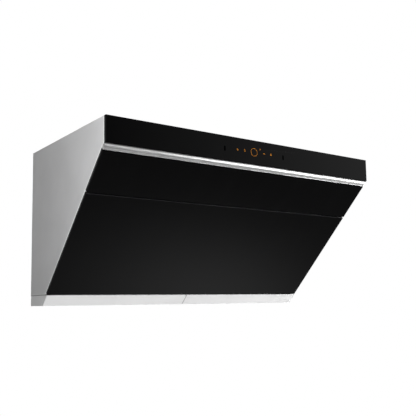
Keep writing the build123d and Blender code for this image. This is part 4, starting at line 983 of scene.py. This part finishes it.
class HOOD_OT_handles(bpy.types.Operator):
    """Make the filter's two wire handles on their feet"""

    bl_idname = "hood.make_handles"
    bl_label = "Filter Handles"

    def execute(self, context):
        fittings = context.scene.hood_fittings
        wire = turned_steel("Handle_Wire", context.scene.hood_metal.shaft, 0.16)
        points = cad_points("grease_filter")
        middle = middle_of(points)
        reach = fittings.handle_place + fittings.handle_span / 2
        slats = points[np.abs((points - middle) @ ACROSS) < reach]
        level = (slats @ OUT_OF_SLOPE).max()
        face = middle + OUT_OF_SLOPE * (level - middle @ OUT_OF_SLOPE)
        for side, sign in (("left", -1), ("right", 1)):
            centre = face + ACROSS * sign * fittings.handle_place
            piece("filter_handle_" + side, handle_surfaces(fittings, centre), "casing",
                  wire)
        return {"FINISHED"}


# ---------------------------------------------------------------- operators: stage


# Each light's name, place, the point that it aims at, width, height, watts and spread in degrees.
LIGHTS = (
    ("key_left", (-2.0, -0.75, -0.25), (-0.45, -0.70, -0.25), 0.5, 2.4, 4.7, 40.0),
    ("fill_right", (2.3, -1.38, -1.4), (2.3, -0.9, 0.0), 2.5, 0.6, 54.5, 180.0),
    ("front_soft", (-0.8, -3.0, -1.3), (0.0, -0.2, -0.3), 1.6, 1.0, 58.5, 180.0),
    ("top_soft", (0.0, -0.4, 2.4), (0.0, -0.2, 0.0), 0.8, 1.6, 20.0, 180.0),
    ("back_soft", (0.3, 2.6, 0.5), (0.0, 0.0, -0.1), 2.4, 1.6, 55.0, 180.0),
)


def area_light(name, place, aim, width, height, power, spread):
    """A rectangular soft light at a place, turned to the point that it aims at. A small spread
    keeps its light near the direction that it faces."""
    lamp = bpy.data.lights.new(name, "AREA")
    lamp.shape = "RECTANGLE"
    lamp.size, lamp.size_y = width, height
    lamp.energy = power
    lamp.spread = math.radians(spread)
    made = new_object(name, lamp)
    made.location = place
    made.rotation_euler = (Vector(aim) - Vector(place)).to_track_quat("-Z", "Y").to_euler()
    made.visible_camera = False


def studio_air(stage):
    """White to the eye. What the hood mirrors is dim ahead of it, grows to the right, and has a
    bright soft ceiling that is brighter on the right too."""
    world = bpy.data.worlds.new("Studio_Air")
    bpy.context.scene.world = world
    air = Recipe(world)
    x, _, z = air.axes(air.out("ShaderNodeTexCoord", "Generated", {}, {}))
    right_start, left_start = 0.42, 0.2
    right = (x - right_start).larger(0.0) * stage.air_right
    left = (-1.0 * x - left_start).larger(0.0) * stage.air_left
    overhead, to_right = z.step(0.30, 0.62), x.step(0.4, 0.8)
    ceiling = overhead * (stage.ceiling + stage.ceiling_right * to_right)
    soft = air.out("ShaderNodeBackground", 0, {},
                   {"Color": WHITE, "Strength": stage.air + right + left + ceiling})
    air.node("ShaderNodeOutputWorld", {},
             {"Surface": air.white_to_eye("ShaderNodeBackground", soft)})


def studio_floor(stage):
    """A wide floor below the hood: a square grid of points at one height. It is white to the eye,
    and the glass mirrors it as a dim floor with one soft pool of light."""
    side = 9
    line = np.linspace(-stage.floor_reach, stage.floor_reach, side)
    x, y = np.meshgrid(line, line, indexing="ij")
    points = np.stack([x, y, np.full_like(x, CAD_BOX[0].z - stage.floor_drop)], axis=-1)
    mesh = bpy.data.meshes.new("studio_floor")
    mesh.from_pydata(points.reshape(-1, 3).tolist(), [],
                     grid_faces(side, side, False, False).tolist())
    floor = new_object("studio_floor", mesh)
    finish = Finish("Floor_White", Roughness=1.0, Specular_IOR_Level=0.0, Emission_Strength=1.0)
    x, y, _ = finish.where()
    pool_x, pool_y = stage.pool_place
    pool = ((x - pool_x) / stage.pool_size[0]).bell() * ((y - pool_y) / stage.pool_size[1]).bell()
    level = stage.floor_dim + stage.pool * pool
    cloud = finish.noise(pitch=0.6, detail=1.0)
    finish.paint(colour=finish.mix(cloud, lighter(WHITE, 0.10), lighter(WHITE, 0.12)),
                 glow=finish.mix(level, lighter(WHITE, 0.0), WHITE))
    finish.feed(finish.surface.inputs["Surface"],
                finish.white_to_eye("ShaderNodeEmission", finish.seen))
    mesh.materials.append(finish.material)


def studio_camera(stage):
    """The camera looks along its heading and pitch; its right and up are then rolled."""
    heading, pitch, roll = stage.camera_heading, stage.camera_pitch, stage.camera_roll
    ahead = Vector((math.sin(heading) * math.cos(pitch), math.cos(heading) * math.cos(pitch),
                    math.sin(pitch)))
    level = Vector((math.cos(heading), -math.sin(heading), 0.0))
    rise = level.cross(ahead)
    right = math.cos(roll) * level + math.sin(roll) * rise
    up = math.cos(roll) * rise - math.sin(roll) * level
    data = bpy.data.cameras.new("studio_camera")
    camera = new_object("studio_camera", data)
    camera.matrix_world = (Matrix.Translation(stage.camera_place)
                           @ Matrix((right, up, -ahead)).transposed().to_4x4())
    data.sensor_width = 36.0
    data.lens = stage.lens
    data.shift_x, data.shift_y = stage.shift
    data.clip_start = 0.05
    data.clip_end = 60.0
    data.dof.use_dof = False
    bpy.context.scene.camera = camera


class HOOD_OT_stage(bpy.types.Operator):
    """Set up the camera, the soft lights, the floor and the studio's air"""

    bl_idname = "hood.make_stage"
    bl_label = "Stage"

    def execute(self, context):
        stage = context.scene.hood_stage
        studio_camera(stage)
        studio_air(stage)
        studio_floor(stage)
        for light in LIGHTS:
            area_light(*light)
        context.scene.view_settings.view_transform = "Standard"
        context.scene.view_settings.look = "None"
        return {"FINISHED"}


OPERATORS = (HOOD_OT_casing, HOOD_OT_glass, HOOD_OT_lamp, HOOD_OT_metals, HOOD_OT_plastics,
             HOOD_OT_marks, HOOD_OT_screws, HOOD_OT_arm_screws, HOOD_OT_handles, HOOD_OT_stage)


class HOOD_PT_panel(bpy.types.Panel):
    """Lists the settings and the steps that dress the hood"""

    bl_idname = "HOOD_PT_panel"
    bl_label = "Range Hood"
    bl_space_type = "VIEW_3D"
    bl_region_type = "UI"
    bl_category = "Range Hood"

    def draw(self, context):
        for name, group in SETTINGS.items():
            box = self.layout.box()
            box.label(text=group.__doc__.split(".")[0])
            for prop in group.__annotations__:
                box.prop(getattr(context.scene, name), prop)
        for operator in OPERATORS:
            self.layout.operator(operator.bl_idname)


def register():
    for group in SETTINGS.values():
        bpy.utils.register_class(group)
    for name, group in SETTINGS.items():
        setattr(bpy.types.Scene, name, PointerProperty(type=group))
    for operator in OPERATORS:
        bpy.utils.register_class(operator)
    bpy.utils.register_class(HOOD_PT_panel)


def unregister():
    bpy.utils.unregister_class(HOOD_PT_panel)
    for operator in reversed(OPERATORS):
        bpy.utils.unregister_class(operator)
    for name, group in reversed(SETTINGS.items()):
        delattr(bpy.types.Scene, name)
        bpy.utils.unregister_class(group)


def main():
    """Registers the classes and runs each step in turn."""
    register()
    for operator in OPERATORS:
        family, step = operator.bl_idname.split(".")
        getattr(getattr(bpy.ops, family), step)()


if __name__ == "__main__":
    main()
